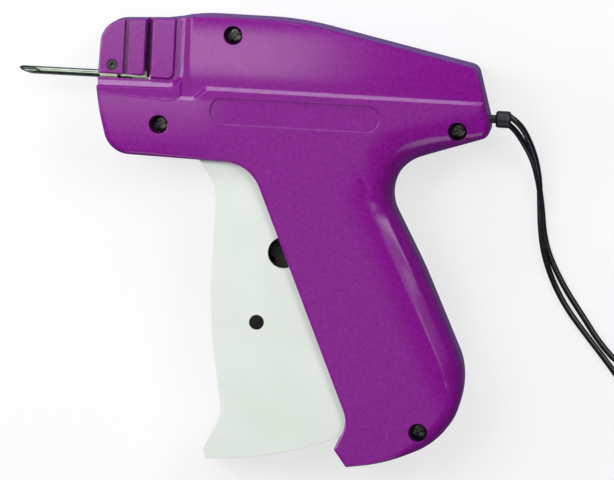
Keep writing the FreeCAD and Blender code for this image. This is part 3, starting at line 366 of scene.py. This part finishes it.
def moulded_crown() -> bpy.types.NodeTree:
    """Builds the slight crown of the housing's side faces, which are nowhere quite flat.

    It works on normals near the Z axis, and leaves the walls between the side faces alone.

    Returns:
        The group's tree.
    """
    group = GroupBuilder(GroupName.MOULDED_CROWN)
    group.takes("Vector", "NodeSocketVector")
    group.takes("Normal", "NodeSocketVector")
    group.gives("Normal", "NodeSocketVector")
    nodes, links = group.tree.nodes, group.tree.links
    total = group.entry.outputs["Normal"]
    parts, size = nodes.new("ShaderNodeSeparateXYZ"), nodes.new("ShaderNodeMath")
    size.operation = "ABSOLUTE"
    links.new(total, parts.inputs[0])
    links.new(parts.outputs["Z"], size.inputs[0])
    face = group.ramp(size.outputs[0], CROWN_BEGINS, CROWN_IS_FULL)
    for lean in HOUSING_CROWN:
        slopes = [math.tan(math.radians(angle)) for angle in (lean.low, lean.high)]
        amount = group.stretch(group.along(lean.towards), lean.start * MM, lean.end * MM, *slopes)
        for window in lean.windows:
            inside = group.ramp(group.along(window.towards), window.start * MM, window.end * MM)
            amount = group.join("MULTIPLY", amount, inside)
        amount = group.join("MULTIPLY", amount, face)
        scaled, joined = nodes.new("ShaderNodeVectorMath"), nodes.new("ShaderNodeVectorMath")
        scaled.operation = "SCALE"
        scaled.inputs[0].default_value = (*lean.towards, 0.0)
        links.new(amount, scaled.inputs["Scale"])
        links.new(total, joined.inputs[0])
        links.new(scaled.outputs[0], joined.inputs[1])
        total = joined.outputs[0]
    unit = nodes.new("ShaderNodeVectorMath")
    unit.operation = "NORMALIZE"
    links.new(total, unit.inputs[0])
    group.deliver("Normal", unit.outputs[0])
    return group.tree


# ---------------------------------------------------------------- finishes
EDGE_SAMPLES = 6
GRAIN_STRENGTH = 0.35
SCRATCH_SHARE = 0.15
RUB_DULLING = 0.02
LINE_STRENGTH = 0.3
LINE_DEPTH = 0.004 * MM


class Finishes:
    """Builds the materials and the groups they share, each once."""

    def __init__(self) -> None:
        """Builds the shader groups."""
        self.groups: dict[GroupName, bpy.types.NodeTree] = {
            GroupName.MOULDED_SKIN: moulded_skin(),
            GroupName.DRAWN_STEEL: drawn_steel(),
            GroupName.HANDLING_WEAR: handling_wear(),
            GroupName.MOULDED_CROWN: moulded_crown(),
        }
        self.made: dict[str, bpy.types.Material] = {}

    def get(self, finish: "Finish") -> bpy.types.Material:
        """Gives the material of a finish, built on first use.

        Args:
            finish: The finish.

        Returns:
            Its material.
        """
        if finish.name not in self.made:
            self.made[finish.name] = finish.build(self.groups)
        return self.made[finish.name]


@dataclass
class Surface:
    """A material's nodes, and short ways to join them."""

    material: bpy.types.Material
    shader: bpy.types.Node = field(init=False)
    place: Socket = field(init=False)

    def __post_init__(self) -> None:
        """Clears the material down to one shader on object coordinates."""
        self.material.use_nodes = True
        nodes = self.material.node_tree.nodes
        nodes.clear()
        output = nodes.new("ShaderNodeOutputMaterial")
        self.shader = nodes.new("ShaderNodeBsdfPrincipled")
        self.link(self.shader.outputs["BSDF"], output.inputs["Surface"])
        self.place = nodes.new("ShaderNodeTexCoord").outputs["Object"]

    def new(self, kind: str) -> bpy.types.Node:
        """Adds a node."""
        return self.material.node_tree.nodes.new(kind)

    def link(self, source: Socket, target: Socket) -> None:
        """Joins two sockets."""
        self.material.node_tree.links.new(source, target)

    def group(self, tree: bpy.types.NodeTree, values: dict[str, float]) -> bpy.types.Node:
        """Places a shared group on the surface's coordinates.

        Args:
            tree: The group's tree.
            values: Its inputs' values.

        Returns:
            The group node.
        """
        node = self.new("ShaderNodeGroup")
        node.node_tree = tree
        self.link(self.place, node.inputs["Vector"])
        for name, value in values.items():
            node.inputs[name].default_value = value
        return node

    def between(self, share: Socket, low: float, high: float) -> Socket:
        """Value that runs from low to high as share runs from 0 to 1.

        Args:
            share: The mask.
            low: Value where the mask is 0.
            high: Value where it is 1.

        Returns:
            The value's socket.
        """
        node = self.new("ShaderNodeMapRange")
        node.inputs["To Min"].default_value = low
        node.inputs["To Max"].default_value = high
        self.link(share, node.inputs["Value"])
        return node.outputs["Result"]

    def add(self, first: Socket, second: Socket) -> Socket:
        """Adds two values, held within 0 and 1.

        Args:
            first: First value.
            second: Second value.

        Returns:
            The sum's socket.
        """
        node = self.new("ShaderNodeMath")
        node.use_clamp = True
        self.link(first, node.inputs[0])
        self.link(second, node.inputs[1])
        return node.outputs[0]

    def mix(self, share: Socket, low: "Colour | Socket", high: Colour) -> Socket:
        """Mixes two colours by a mask.

        Args:
            share: The mask.
            low: Colour, or colour socket, where the mask is 0.
            high: Colour where it is 1.

        Returns:
            The mixed colour's socket.
        """
        node = self.new("ShaderNodeMix")
        node.data_type = "RGBA"
        self.link(share, node.inputs["Factor"])
        if isinstance(low, tuple):
            node.inputs["A"].default_value = (*low, 1.0)
        else:
            self.link(low, node.inputs["A"])
        node.inputs["B"].default_value = (*high, 1.0)
        return node.outputs["Result"]

    def relief(self, height: Socket, strength: float, depth: float, edge: float,
               crown: Optional[bpy.types.NodeTree] = None) -> None:
        """Gives the surface a fine relief and rounds its sharp edges a little.

        Args:
            height: The relief's height, 0 to 1.
            strength: How much of it shows.
            depth: The relief's depth in metres.
            edge: Radius of the edges in metres, 0 for sharp ones.
            crown: The group that crowns its faces, if they are crowned.
        """
        bump = self.new("ShaderNodeBump")
        bump.inputs["Strength"].default_value = strength
        bump.inputs["Distance"].default_value = depth
        self.link(height, bump.inputs["Height"])
        if edge > 0:
            bevel = self.new("ShaderNodeBevel")
            bevel.samples = EDGE_SAMPLES
            bevel.inputs["Radius"].default_value = edge
            normal = bevel.outputs["Normal"]
            if crown:
                crowned = self.group(crown, {})
                self.link(normal, crowned.inputs["Normal"])
                normal = crowned.outputs["Normal"]
            self.link(normal, bump.inputs["Normal"])
        self.link(bump.outputs["Normal"], self.shader.inputs["Normal"])


@dataclass(frozen=True)
class Plastic:
    """A moulded plastic finish."""

    name: str
    colour: Colour
    tone: Colour
    rough: tuple[float, float]
    grain: float = GRAIN_SCALE
    grain_depth: float = 0.012 * MM
    tone_scale: float = TONE_SCALE
    scratch: Colour = (0.5, 0.5, 0.5)
    edge: float = 0.25 * MM
    specular: float = 0.5
    crowned: bool = False

    def build(self, groups: dict[GroupName, bpy.types.NodeTree]) -> bpy.types.Material:
        """Builds the material.

        Args:
            groups: The shared shader groups.

        Returns:
            The material.
        """
        surface = Surface(bpy.data.materials.new(self.name))
        scales = {"Grain Scale": self.grain, "Tone Scale": self.tone_scale}
        skin = surface.group(groups[GroupName.MOULDED_SKIN], scales)
        wear = surface.group(groups[GroupName.HANDLING_WEAR], {})
        shader = surface.shader.inputs
        shader["Specular IOR Level"].default_value = self.specular
        body = surface.mix(skin.outputs["Tone"], self.colour, self.tone)
        marks = surface.between(wear.outputs["Scratches"], 0.0, SCRATCH_SHARE)
        surface.link(surface.mix(marks, body, self.scratch), shader["Base Color"])
        rough = surface.between(skin.outputs["Gloss"], *self.rough)
        dulled = surface.between(wear.outputs["Rub"], 0.0, RUB_DULLING)
        surface.link(surface.add(rough, dulled), shader["Roughness"])
        crown = groups[GroupName.MOULDED_CROWN] if self.crowned else None
        surface.relief(skin.outputs["Grain"], GRAIN_STRENGTH, self.grain_depth, self.edge, crown)
        return surface.material


@dataclass(frozen=True)
class Steel:
    """A drawn or ground steel finish."""

    name: str
    colour: Colour
    stain: Colour
    rough: tuple[float, float]
    lines: float = LINE_SCALE
    edge: float = 0.1 * MM

    def build(self, groups: dict[GroupName, bpy.types.NodeTree]) -> bpy.types.Material:
        """Builds the material.

        Args:
            groups: The shared shader groups.

        Returns:
            The material.
        """
        surface = Surface(bpy.data.materials.new(self.name))
        steel = surface.group(groups[GroupName.DRAWN_STEEL], {"Line Scale": self.lines})
        shader = surface.shader.inputs
        shader["Metallic"].default_value = 1.0
        surface.link(surface.mix(steel.outputs["Stain"], self.colour, self.stain), shader["Base Color"])
        surface.link(surface.between(steel.outputs["Lines"], *self.rough), shader["Roughness"])
        surface.relief(steel.outputs["Lines"], LINE_STRENGTH, LINE_DEPTH, self.edge)
        return surface.material


Finish = Plastic | Steel

HOUSING_PURPLE = Plastic("housing_purple", srgb(123, 11, 131), srgb(134, 21, 142), (0.12, 0.16),
                         tone_scale=850.0, scratch=srgb(170, 110, 172), edge=0.35 * MM, crowned=True)
TRIGGER_WHITE = Plastic("trigger_white", srgb(219, 229, 220), srgb(225, 234, 227), (0.38, 0.5),
                        grain_depth=0.008 * MM, scratch=srgb(190, 195, 188))
WORKS_BLACK = Plastic("works_black", srgb(34, 34, 36), srgb(43, 43, 45), (0.36, 0.5))
WHEEL_NATURAL = Plastic("wheel_natural", srgb(226, 225, 214), srgb(218, 216, 202), (0.35, 0.5), grain=5200.0)
STRAP_BLACK = Plastic("strap_black", srgb(15, 15, 17), srgb(22, 22, 24), (0.24, 0.36), grain=2400.0,
                      grain_depth=0.02 * MM, tone_scale=160.0, specular=0.6, edge=0.0)
NEEDLE_STEEL = Steel("needle_steel", srgb(148, 161, 148), srgb(112, 124, 112), (0.24, 0.38))
BLADE_STEEL = Steel("blade_steel", srgb(226, 230, 220), srgb(186, 191, 180), (0.2, 0.32))
PIN_STEEL = Steel("pin_steel", srgb(200, 201, 200), srgb(168, 168, 166), (0.22, 0.36))
DULL_STEEL = Steel("dull_steel", srgb(80, 77, 79), srgb(58, 56, 58), (0.3, 0.45))
BLACKENED_STEEL = Steel("blackened_steel", srgb(52, 52, 52), srgb(40, 40, 40), (0.3, 0.45))
SCREW_STEEL = Steel("screw_steel", srgb(112, 112, 108), srgb(52, 52, 50), (0.16, 0.34), lines=1400.0)


# ---------------------------------------------------------------- modelling by hand
DRUM_SIDES = 48
LEVEL = 0.99
SAME_POINT = 1e-6
HARD_EDGE = math.radians(35.0)


class Bench:
    """Edit-mode modelling of one piece at a time."""

    @staticmethod
    def clear() -> None:
        """Deselects everything and leaves edit mode."""
        if bpy.context.object and bpy.context.object.mode != "OBJECT":
            bpy.ops.object.mode_set(mode="OBJECT")
        bpy.ops.object.select_all(action="DESELECT")

    @staticmethod
    def take(piece: bpy.types.Object) -> None:
        """Selects one piece alone and makes it the active one."""
        Bench.clear()
        piece.select_set(True)
        bpy.context.view_layer.objects.active = piece

    @staticmethod
    def drum(name: str, radius: float, low: float, high: float, x: float, y: float) -> bpy.types.Object:
        """Adds an upright drum.

        Args:
            name: The piece's name.
            radius: Its radius.
            low: Height of its underside.
            high: Height of its top.
            x: Centre along X.
            y: Centre along Y.

        Returns:
            The new object, selected and in object mode.
        """
        Bench.clear()
        bpy.ops.mesh.primitive_cylinder_add(vertices=DRUM_SIDES, radius=radius, depth=high - low,
                                            location=(x, y, (low + high) / 2))
        piece = bpy.context.object
        piece.name = name
        return piece

    @staticmethod
    def edit(piece: bpy.types.Object, mode: str = "FACE") -> None:
        """Opens a piece in edit mode with nothing selected in it."""
        Bench.take(piece)
        bpy.ops.object.mode_set(mode="EDIT")
        bpy.ops.mesh.select_mode(type=mode)
        bpy.ops.mesh.select_all(action="DESELECT")

    @staticmethod
    def pick_level_faces(piece: bpy.types.Object, up: float) -> None:
        """Selects a piece's level faces on one side, and no others.

        Args:
            piece: The piece in edit mode.
            up: 1 for the faces that look up, -1 for those that look down.
        """
        mesh = bmesh.from_edit_mesh(piece.data)
        for face in mesh.faces:
            face.select_set(face.normal.z * up > LEVEL)
        mesh.select_flush_mode()
        bmesh.update_edit_mesh(piece.data)

    @staticmethod
    def pick_edges(piece: bpy.types.Object, wanted: Callable[[bmesh.types.BMEdge, Matrix], bool]) -> None:
        """Selects the edges that a test wants, and no others.

        Args:
            piece: The piece in edit mode.
            wanted: Test on an edge and the piece's matrix.
        """
        bpy.ops.mesh.select_mode(type="EDGE")
        mesh = bmesh.from_edit_mesh(piece.data)
        for edge in mesh.edges:
            edge.select_set(wanted(edge, piece.matrix_world))
        bmesh.update_edit_mesh(piece.data)

    @staticmethod
    def carve(piece: bpy.types.Object, tool: bpy.types.Object) -> None:
        """Cuts a tool out of a piece and removes the tool."""
        Bench.take(piece)
        cut = piece.modifiers.new("carve", "BOOLEAN")
        cut.operation = "DIFFERENCE"
        cut.solver = "EXACT"
        cut.object = tool
        bpy.ops.object.modifier_apply(modifier=cut.name)
        bpy.data.objects.remove(tool)

    @staticmethod
    def finish(piece: bpy.types.Object) -> None:
        """Puts the piece's place in its mesh, recalculates its normals and shades it, hard edges kept."""
        Bench.edit(piece, "VERT")
        bpy.ops.mesh.select_all(action="SELECT")
        bpy.ops.mesh.remove_doubles(threshold=SAME_POINT)
        bpy.ops.mesh.normals_make_consistent(inside=False)
        Bench.take(piece)
        bpy.ops.object.transform_apply(location=True, rotation=True, scale=True)
        bpy.ops.object.shade_smooth_by_angle(angle=HARD_EDGE)
        Bench.clear()


# ---------------------------------------------------------------- sub-assemblies
@dataclass
class Assembly:
    """What every sub-assembly of the gun has."""

    frame: dict
    finishes: Finishes

    def dress(self, node: str, finish: Finish) -> None:
        """Gives a solid of the model its material.

        Args:
            node: The solid's name.
            finish: Its finish.
        """
        piece = self.frame["nodes"][node]
        material = self.finishes.get(finish)
        if not piece.material_slots:
            piece.data.materials.append(material)
        for place in piece.material_slots:
            place.material = material
        LOG.info("%s: %s", node, finish.name)

    def place(self, piece: bpy.types.Object, body: str, finish: Finish, slot: str) -> None:
        """Gives a new piece its body and its finish.

        Args:
            piece: The piece.
            body: The body that it moves with.
            finish: Its finish.
            slot: Not used.
        """
        piece.data.materials.clear()
        piece.data.materials.append(self.finishes.get(finish))
        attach(piece, body)
        LOG.info("%s: rides on %s, %s", piece.name, body, finish.name)


@dataclass
class Screw:
    """Where one housing screw stands."""

    x: float
    y: float
    seat: float


@dataclass
class Housing(Assembly):
    """Both shells and the screws that hold them together."""

    head_radius: float = 2.75 * MM
    head_height: float = 1.8 * MM
    rim_radius: float = 0.6 * MM
    rim_steps: int = 5
    dome: tuple[tuple[float, float], ...] = ((0.85, 0.05), (0.75, 0.03), (0.6, 0.015))
    shank_radius: float = 1.45 * MM
    shank_length: float = 11.0 * MM
    point_length: float = 2.0 * MM
    point_share: float = 0.3
    recess_depth: float = 1.2 * MM
    recess_width: float = 0.75 * MM
    recess_reach: float = 1.65 * MM
    recess_rise: float = 0.15
    recess_foot: float = 0.45
    turn_between: float = 0.7
    screws: tuple[Screw, ...] = (
        Screw(4.65 * MM, 25.0 * MM, 17.7 * MM),
        Screw(-18.55 * MM, -5.6 * MM, 16.7 * MM),
        Screw(80.1 * MM, -2.75 * MM, 16.7 * MM),
        Screw(72.15 * MM, -102.95 * MM, 16.7 * MM),
    )

    def build(self) -> None:
        """Dresses the shells and models the screws."""
        self.dress("left_shell", HOUSING_PURPLE)
        self.dress("right_shell", HOUSING_PURPLE)
        first = self.screws[0]
        made = [self.model_screw(first)]
        middle = Vector((first.x, first.y, 0.0))
        for number, screw in enumerate(self.screws[1:], 2):
            twin = made[0].copy()
            twin.data = made[0].data.copy()
            twin.name = f"housing_screw_{number}"
            bpy.context.scene.collection.objects.link(twin)
            step = Matrix.Translation((screw.x - first.x, screw.y - first.y, screw.seat - first.seat))
            turn = Matrix.Rotation(self.turn_between * number, 4, "Z")
            twin.data.transform(step @ (Matrix.Translation(middle) @ turn @ Matrix.Translation(-middle)))
            made.append(twin)
        for piece in made:
            self.place(piece, "housing", SCREW_STEEL, "dark_steel")
            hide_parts("housing_screws")

    def model_screw(self, screw: Screw) -> bpy.types.Object:
        """Models a pan-head screw: domed head, shank with a point and a tapered cross recess.

        Args:
            screw: Where it stands.

        Returns:
            The finished screw.
        """
        top = screw.seat + self.head_height
        piece = Bench.drum("housing_screw_1", self.head_radius, screw.seat, top, screw.x, screw.y)
        Bench.edit(piece, "EDGE")
        Bench.pick_edges(piece, lambda edge, at: self.on_rim(edge, at, screw))
        bpy.ops.mesh.bevel(offset=self.rim_radius, segments=self.rim_steps)
        bpy.ops.mesh.select_mode(type="FACE")
        Bench.pick_level_faces(piece, 1)
        for share, rise in self.dome:
            bpy.ops.mesh.extrude_region_move()
            bpy.ops.transform.translate(value=(0, 0, rise * self.head_height))
            bpy.ops.transform.resize(value=(share, share, 1.0))
        Bench.pick_level_faces(piece, -1)
        bpy.ops.mesh.inset(thickness=self.head_radius - self.shank_radius)
        for drop in (self.shank_length - self.point_length, self.point_length):
            bpy.ops.mesh.extrude_region_move(TRANSFORM_OT_translate={"value": (0, 0, -drop)})
        bpy.ops.transform.resize(value=(self.point_share, self.point_share, 1.0))
        Bench.clear()
        for turn in (0.0, math.pi / 2):
            Bench.carve(piece, self.recess_tool(screw, top, turn))
        Bench.finish(piece)
        return piece

    def on_rim(self, edge: bmesh.types.BMEdge, at: Matrix, screw: Screw) -> bool:
        """Whether an edge is on the head's outer upper rim.

        Args:
            edge: The edge.
            at: The piece's matrix.
            screw: Where the screw stands.

        Returns:
            True for an edge of the rim.
        """
        floor, reach = screw.seat + self.head_height / 2, self.head_radius / 2
        ends = [at @ corner.co for corner in edge.verts]
        return all(end.z > floor and math.hypot(end.x - screw.x, end.y - screw.y) > reach for end in ends)

    def recess_tool(self, screw: Screw, top: float, turn: float) -> bpy.types.Object:
        """Models one arm of the cross recess, narrower at its foot.

        Args:
            screw: Where the screw stands.
            top: Height of the head's top.
            turn: Turn of the arm round the screw's axis.

        Returns:
            The tool.
        """
        Bench.clear()
        middle = (screw.x, screw.y, top + self.recess_rise * self.head_height)
        size = (2 * self.recess_reach, self.recess_width, 2 * self.recess_depth)
        bpy.ops.mesh.primitive_cube_add(size=1.0, location=middle, rotation=(0, 0, turn), scale=size)
        tool = bpy.context.object
        Bench.edit(tool)
        Bench.pick_level_faces(tool, -1)
        bpy.ops.transform.resize(value=(self.recess_foot, self.recess_foot, 1.0))
        Bench.clear()
        return tool


@dataclass
class Trigger(Assembly):
    """The trigger, its pivot and the pin that drives the arm."""

    def build(self) -> None:
        """Dresses the trigger's solids."""
        self.dress("trigger", TRIGGER_WHITE)
        self.dress("trigger_pivot_pin", PIN_STEEL)
        self.dress("drive_pin", BLACKENED_STEEL)
        self.dress("drive_roller", WHEEL_NATURAL)


@dataclass
class Linkage(Assembly):
    """The arm, the slider, the push rod and the spring that sends them back, inside the housing."""

    wire_radius: float = 0.25 * MM
    wire_sides: int = 12
    coil_radius: float = 2.0 * MM
    coils: int = 22
    coil_steps: int = 28
    spring_seat: Point = (-12.2 * MM, 9.45 * MM, 14.0 * MM)
    travel: float = 42.5 * MM

    def build(self) -> None:
        """Dresses the linkage's solids and winds the spring."""
        for node in ("swing_arm", "slider", "rod_guide"):
            self.dress(node, WORKS_BLACK)
        for node in ("arm_pivot_pin", "arm_head_pin", "push_rod"):
            self.dress(node, PIN_STEEL)
        spring = self.wind_spring()
        self.place(spring, "housing", PIN_STEEL, "bright_steel")
        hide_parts("return_spring")
        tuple(self.spring_seat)
        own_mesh(spring)

    def wind_spring(self) -> bpy.types.Object:
        """Winds the compression spring from its seat on the rod's guide back to the slider.

        Returns:
            The finished spring.
        """
        low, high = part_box("return_spring")
        start = low[0] + self.wire_radius
        length = high[0] - self.wire_radius - start
        Bench.clear()
        bpy.ops.mesh.primitive_circle_add(vertices=self.wire_sides, radius=self.wire_radius,
                                          location=(start, *self.spring_seat[1:]))
        spring = bpy.context.object
        spring.name = "return_spring_coil"
        Bench.edit(spring, "VERT")
        bpy.ops.mesh.select_all(action="SELECT")
        bpy.ops.transform.translate(value=(0.0, self.coil_radius, 0.0))
        Bench.take(spring)
        winding = spring.modifiers.new("winding", "SCREW")
        winding.axis = "X"
        winding.iterations = self.coils
        winding.screw_offset = length / self.coils
        winding.steps = winding.render_steps = self.coil_steps
        bpy.ops.object.modifier_apply(modifier=winding.name)
        Bench.edit(spring, "VERT")
        bpy.ops.mesh.select_non_manifold()
        bpy.ops.mesh.edge_face_add()
        Bench.finish(spring)
        return spring


@dataclass
class FeedWorks(Assembly):
    """The wheel that brings up the next fastener, and its two leaf springs."""

    def build(self) -> None:
        """Dresses the feed's solids."""
        self.dress("feed_wheel", WHEEL_NATURAL)
        for node in ("feed_shaft", "feed_pawl", "detent_leaf"):
            self.dress(node, PIN_STEEL)


@dataclass
class Nose(Assembly):
    """The needle, its base, the cutter blade and the needle lock."""

    def build(self) -> None:
        """Dresses the nose's solids."""
        self.dress("needle", NEEDLE_STEEL)
        for node in ("needle_base", "cutter_blade"):
            self.dress(node, BLADE_STEEL)
        self.dress("lock_shaft", DULL_STEEL)
        self.dress("lock_lever", WORKS_BLACK)


@dataclass
class WristStrap(Assembly):
    """The strap's loop, its bead and the stud that it hangs from. The loop's route is in millimetres."""

    radius: float = 1.0 * MM
    length: float = 0.2738
    round_steps: int = 6
    route_steps: int = 12
    order: int = 3
    route: tuple[Point, ...] = (
        (96.55, 2.37, 14.0), (99.86, 0.43, 13.6), (103.14, -4.74, 11.6), (105.79, -11.12, 8.4),
        (107.43, -18.74, 5.0), (107.9, -26.45, 3.4), (108.5, -34.55, 3.3), (109.8, -42.7, 2.6),
        (113.1, -51.93, 1.2), (118.3, -61.06, 1.02), (125.3, -69.67, 1.02), (131.8, -77.2, 1.02),
        (138.3, -85.3, 1.02), (144.3, -94.9, 1.02), (152.95, -102.08, 1.02), (164.09, -99.56, 1.02),
        (168.65, -89.44, 1.02), (161.06, -81.33, 1.02), (148.92, -82.03, 1.02), (137.6, -79.9, 1.02),
        (130.2, -72.4, 1.02), (124.3, -64.0, 1.02), (117.7, -54.89, 1.02), (111.89, -44.35, 1.02),
        (109.57, -36.26, 1.02), (108.66, -28.16, 1.02), (107.07, -19.79, 1.9), (104.9, -12.31, 4.6),
        (101.16, -5.76, 8.6), (98.22, -1.66, 12.4), (95.85, 0.07, 14.0),
    )

    def build(self) -> None:
        """Dresses the bead and the stud, and makes the cord."""
        self.dress("strap_anchor", WORKS_BLACK)
        self.dress("strap_bead", WORKS_BLACK)
        curve = bpy.data.curves.new("wrist_strap_cord", "CURVE")
        curve.dimensions = "3D"
        curve.bevel_depth = self.radius
        curve.bevel_resolution = self.round_steps
        curve.resolution_u = self.route_steps
        curve.use_fill_caps = True
        spline = curve.splines.new("NURBS")
        spline.points.add(len(self.route) - 1)
        for point, (x, y, z) in zip(spline.points, self.route):
            point.co = (x * MM, y * MM, z * MM, 1.0)
        spline.order_u = self.order
        spline.use_endpoint_u = True
        cord = bpy.data.objects.new("wrist_strap_cord", curve)
        bpy.context.scene.collection.objects.link(cord)
        self.place(cord, "housing", STRAP_BLACK, "strap_black")
        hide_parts("wrist_strap")
        exit_point = [value * MM for value in self.route[0]]


# ---------------------------------------------------------------- studio
WHITE: Colour = (1.0, 1.0, 1.0)


@dataclass(frozen=True)
class Softbox:
    """One soft lamp, with its face's brightness and tint. It hangs level or points at the gun."""

    name: str
    place: Point
    size: tuple[float, float]
    brightness: float
    level: bool = False
    turn: float = 0.0
    tint: Colour = WHITE

    @property
    def power(self) -> float:
        """Power in watts that gives the lamp's face its brightness."""
        return self.brightness * math.pi * self.size[0] * self.size[1]


@dataclass
class Studio:
    """The camera, the lamps, the floor and the surroundings."""

    aim: Point = (0.03241, -0.04106, 0.028)
    camera_place: Point = (0.1528, 0.145, 2.2168)
    roll: float = 3.14
    lens: float = 391.3
    sensor: float = 36.0
    far: float = 20.0
    floor_size: float = 4.0
    floor_height: float = -0.1 * MM
    floor_seen: Colour = srgb(244, 244, 247)
    floor_mirrored: Colour = srgb(98, 87, 142)
    glow_seen: float = 0.7
    glow_mirrored: float = 0.05
    surroundings: Colour = (0.9, 0.93, 1.0)
    surroundings_level: float = 0.06
    softboxes: tuple[Softbox, ...] = (
        Softbox("top_box", (-0.03, -0.13, 1.0), (0.27, 0.27), 0.5, level=True),
        Softbox("head_box", (-0.23, 0.28, 1.0), (0.5, 0.42), 3.4, level=True, tint=(1.0, 0.9, 0.87)),
        Softbox("key_box", (-0.25, 1.15, 0.5), (0.9, 0.45), 5.5),
        Softbox("left_box", (-1.1, 0.1, 0.42), (0.6, 0.45), 7.0),
        Softbox("high_left_box", (-0.75, 0.35, 1.15), (0.6, 0.6), 6.0),
        Softbox("high_rear_box", (0.75, 0.6, 1.15), (0.6, 0.6), 5.5),
        Softbox("streak_box", (0.433, 0.038, 1.0), (0.13, 0.04), 9.5, level=True, turn=27.0),
        Softbox("fill_box", (0.1, -1.3, 0.8), (0.8, 0.8), 1.6),
    )

    def set_camera(self) -> None:
        """Makes the camera, far away and a little to the rear and above the gun's body."""
        data = bpy.data.cameras.new("camera")
        data.sensor_width = self.sensor
        data.lens = self.lens
        data.clip_end = self.far
        camera = bpy.data.objects.new("camera", data)
        bpy.context.scene.collection.objects.link(camera)
        eye, aim = Vector(self.camera_place), Vector(self.aim)
        back = (eye - aim).normalized()
        angle = math.radians(self.roll)
        right = Vector((math.cos(angle), math.sin(angle), 0.0))
        right = (right - back * right.dot(back)).normalized()
        turn = Matrix((right, back.cross(right), back)).transposed().to_4x4()
        camera.matrix_world = Matrix.Translation(eye) @ turn
        bpy.context.scene.camera = camera

    def hang_lamps(self) -> None:
        """Hangs the lamps, which the camera doesn't see."""
        for box in self.softboxes:
            data = bpy.data.lights.new(box.name, "AREA")
            data.shape = "RECTANGLE"
            data.size, data.size_y = box.size
            data.energy = box.power
            data.color = box.tint
            lamp = bpy.data.objects.new(box.name, data)
            bpy.context.scene.collection.objects.link(lamp)
            lamp.location = box.place
            direction = Vector((0.0, 0.0, -1.0)) if box.level else Vector(self.aim) - Vector(box.place)
            lamp.rotation_euler = direction.to_track_quat("-Z", "Y").to_euler()
            lamp.rotation_euler.rotate_axis("Z", math.radians(box.turn))
            lamp.visible_camera = False

    def surround(self) -> None:
        """Sets the surroundings: dim for the gun, white for the camera."""
        world = bpy.data.worlds.new("studio")
        bpy.context.scene.world = world
        world.use_nodes = True
        nodes, links = world.node_tree.nodes, world.node_tree.links
        nodes.clear()
        output = nodes.new("ShaderNodeOutputWorld")
        shown, lit = nodes.new("ShaderNodeBackground"), nodes.new("ShaderNodeBackground")
        shown.inputs["Color"].default_value = (*WHITE, 1.0)
        lit.inputs["Color"].default_value = (*self.surroundings, 1.0)
        lit.inputs["Strength"].default_value = self.surroundings_level
        path, mix = nodes.new("ShaderNodeLightPath"), nodes.new("ShaderNodeMixShader")
        links.new(path.outputs["Is Camera Ray"], mix.inputs["Fac"])
        links.new(lit.outputs["Background"], mix.inputs[1])
        links.new(shown.outputs["Background"], mix.inputs[2])
        links.new(mix.outputs["Shader"], output.inputs["Surface"])

    def lay_floor(self) -> None:
        """Lays the plain floor that the gun lies on. The camera sees it bright, the gun mirrors it darker."""
        Bench.clear()
        bpy.ops.mesh.primitive_plane_add(size=self.floor_size, location=(0.0, 0.0, self.floor_height))
        floor = bpy.context.object
        floor.name = "floor"
        material = bpy.data.materials.new("floor_paper")
        material.use_nodes = True
        nodes, links = material.node_tree.nodes, material.node_tree.links
        nodes.clear()
        output = nodes.new("ShaderNodeOutputMaterial")
        paper, glow = nodes.new("ShaderNodeBsdfDiffuse"), nodes.new("ShaderNodeEmission")
        glow.inputs["Strength"].default_value = 1.0
        path, mix = nodes.new("ShaderNodeLightPath"), nodes.new("ShaderNodeMixShader")
        tint = nodes.new("ShaderNodeMix")
        tint.data_type = "RGBA"
        tint.inputs["A"].default_value = (*self.floor_mirrored, 1.0)
        tint.inputs["B"].default_value = (*self.floor_seen, 1.0)
        links.new(path.outputs["Is Camera Ray"], tint.inputs["Factor"])
        links.new(tint.outputs["Result"], paper.inputs["Color"])
        seen, mirrored = nodes.new("ShaderNodeMath"), nodes.new("ShaderNodeMath")
        seen.operation = mirrored.operation = "MULTIPLY_ADD"
        links.new(path.outputs["Is Glossy Ray"], mirrored.inputs[0])
        mirrored.inputs[1].default_value = self.glow_mirrored
        mirrored.inputs[2].default_value = 0.0
        links.new(path.outputs["Is Camera Ray"], seen.inputs[0])
        seen.inputs[1].default_value = self.glow_seen
        links.new(mirrored.outputs[0], seen.inputs[2])
        links.new(seen.outputs[0], mix.inputs["Fac"])
        links.new(paper.outputs["BSDF"], mix.inputs[1])
        links.new(glow.outputs["Emission"], mix.inputs[2])
        links.new(mix.outputs["Shader"], output.inputs["Surface"])
        floor.data.materials.append(material)


def main() -> None:
    """Builds the scene: camera, sub-assemblies, lamps and floor."""
    logging.basicConfig(level=logging.INFO, format="%(name)s: %(message)s")
    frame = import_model()
    studio = Studio()
    studio.set_camera()
    finishes = Finishes()
    for assembly in (WristStrap, Housing, Trigger, Linkage, FeedWorks, Nose):
        assembly(frame, finishes).build()
        LOG.info("%s is built", assembly.__name__)
    studio.hang_lamps()
    studio.surround()
    studio.lay_floor()
    bpy.context.scene.view_settings.view_transform = "Standard"


if __name__ == "__main__":
    main()
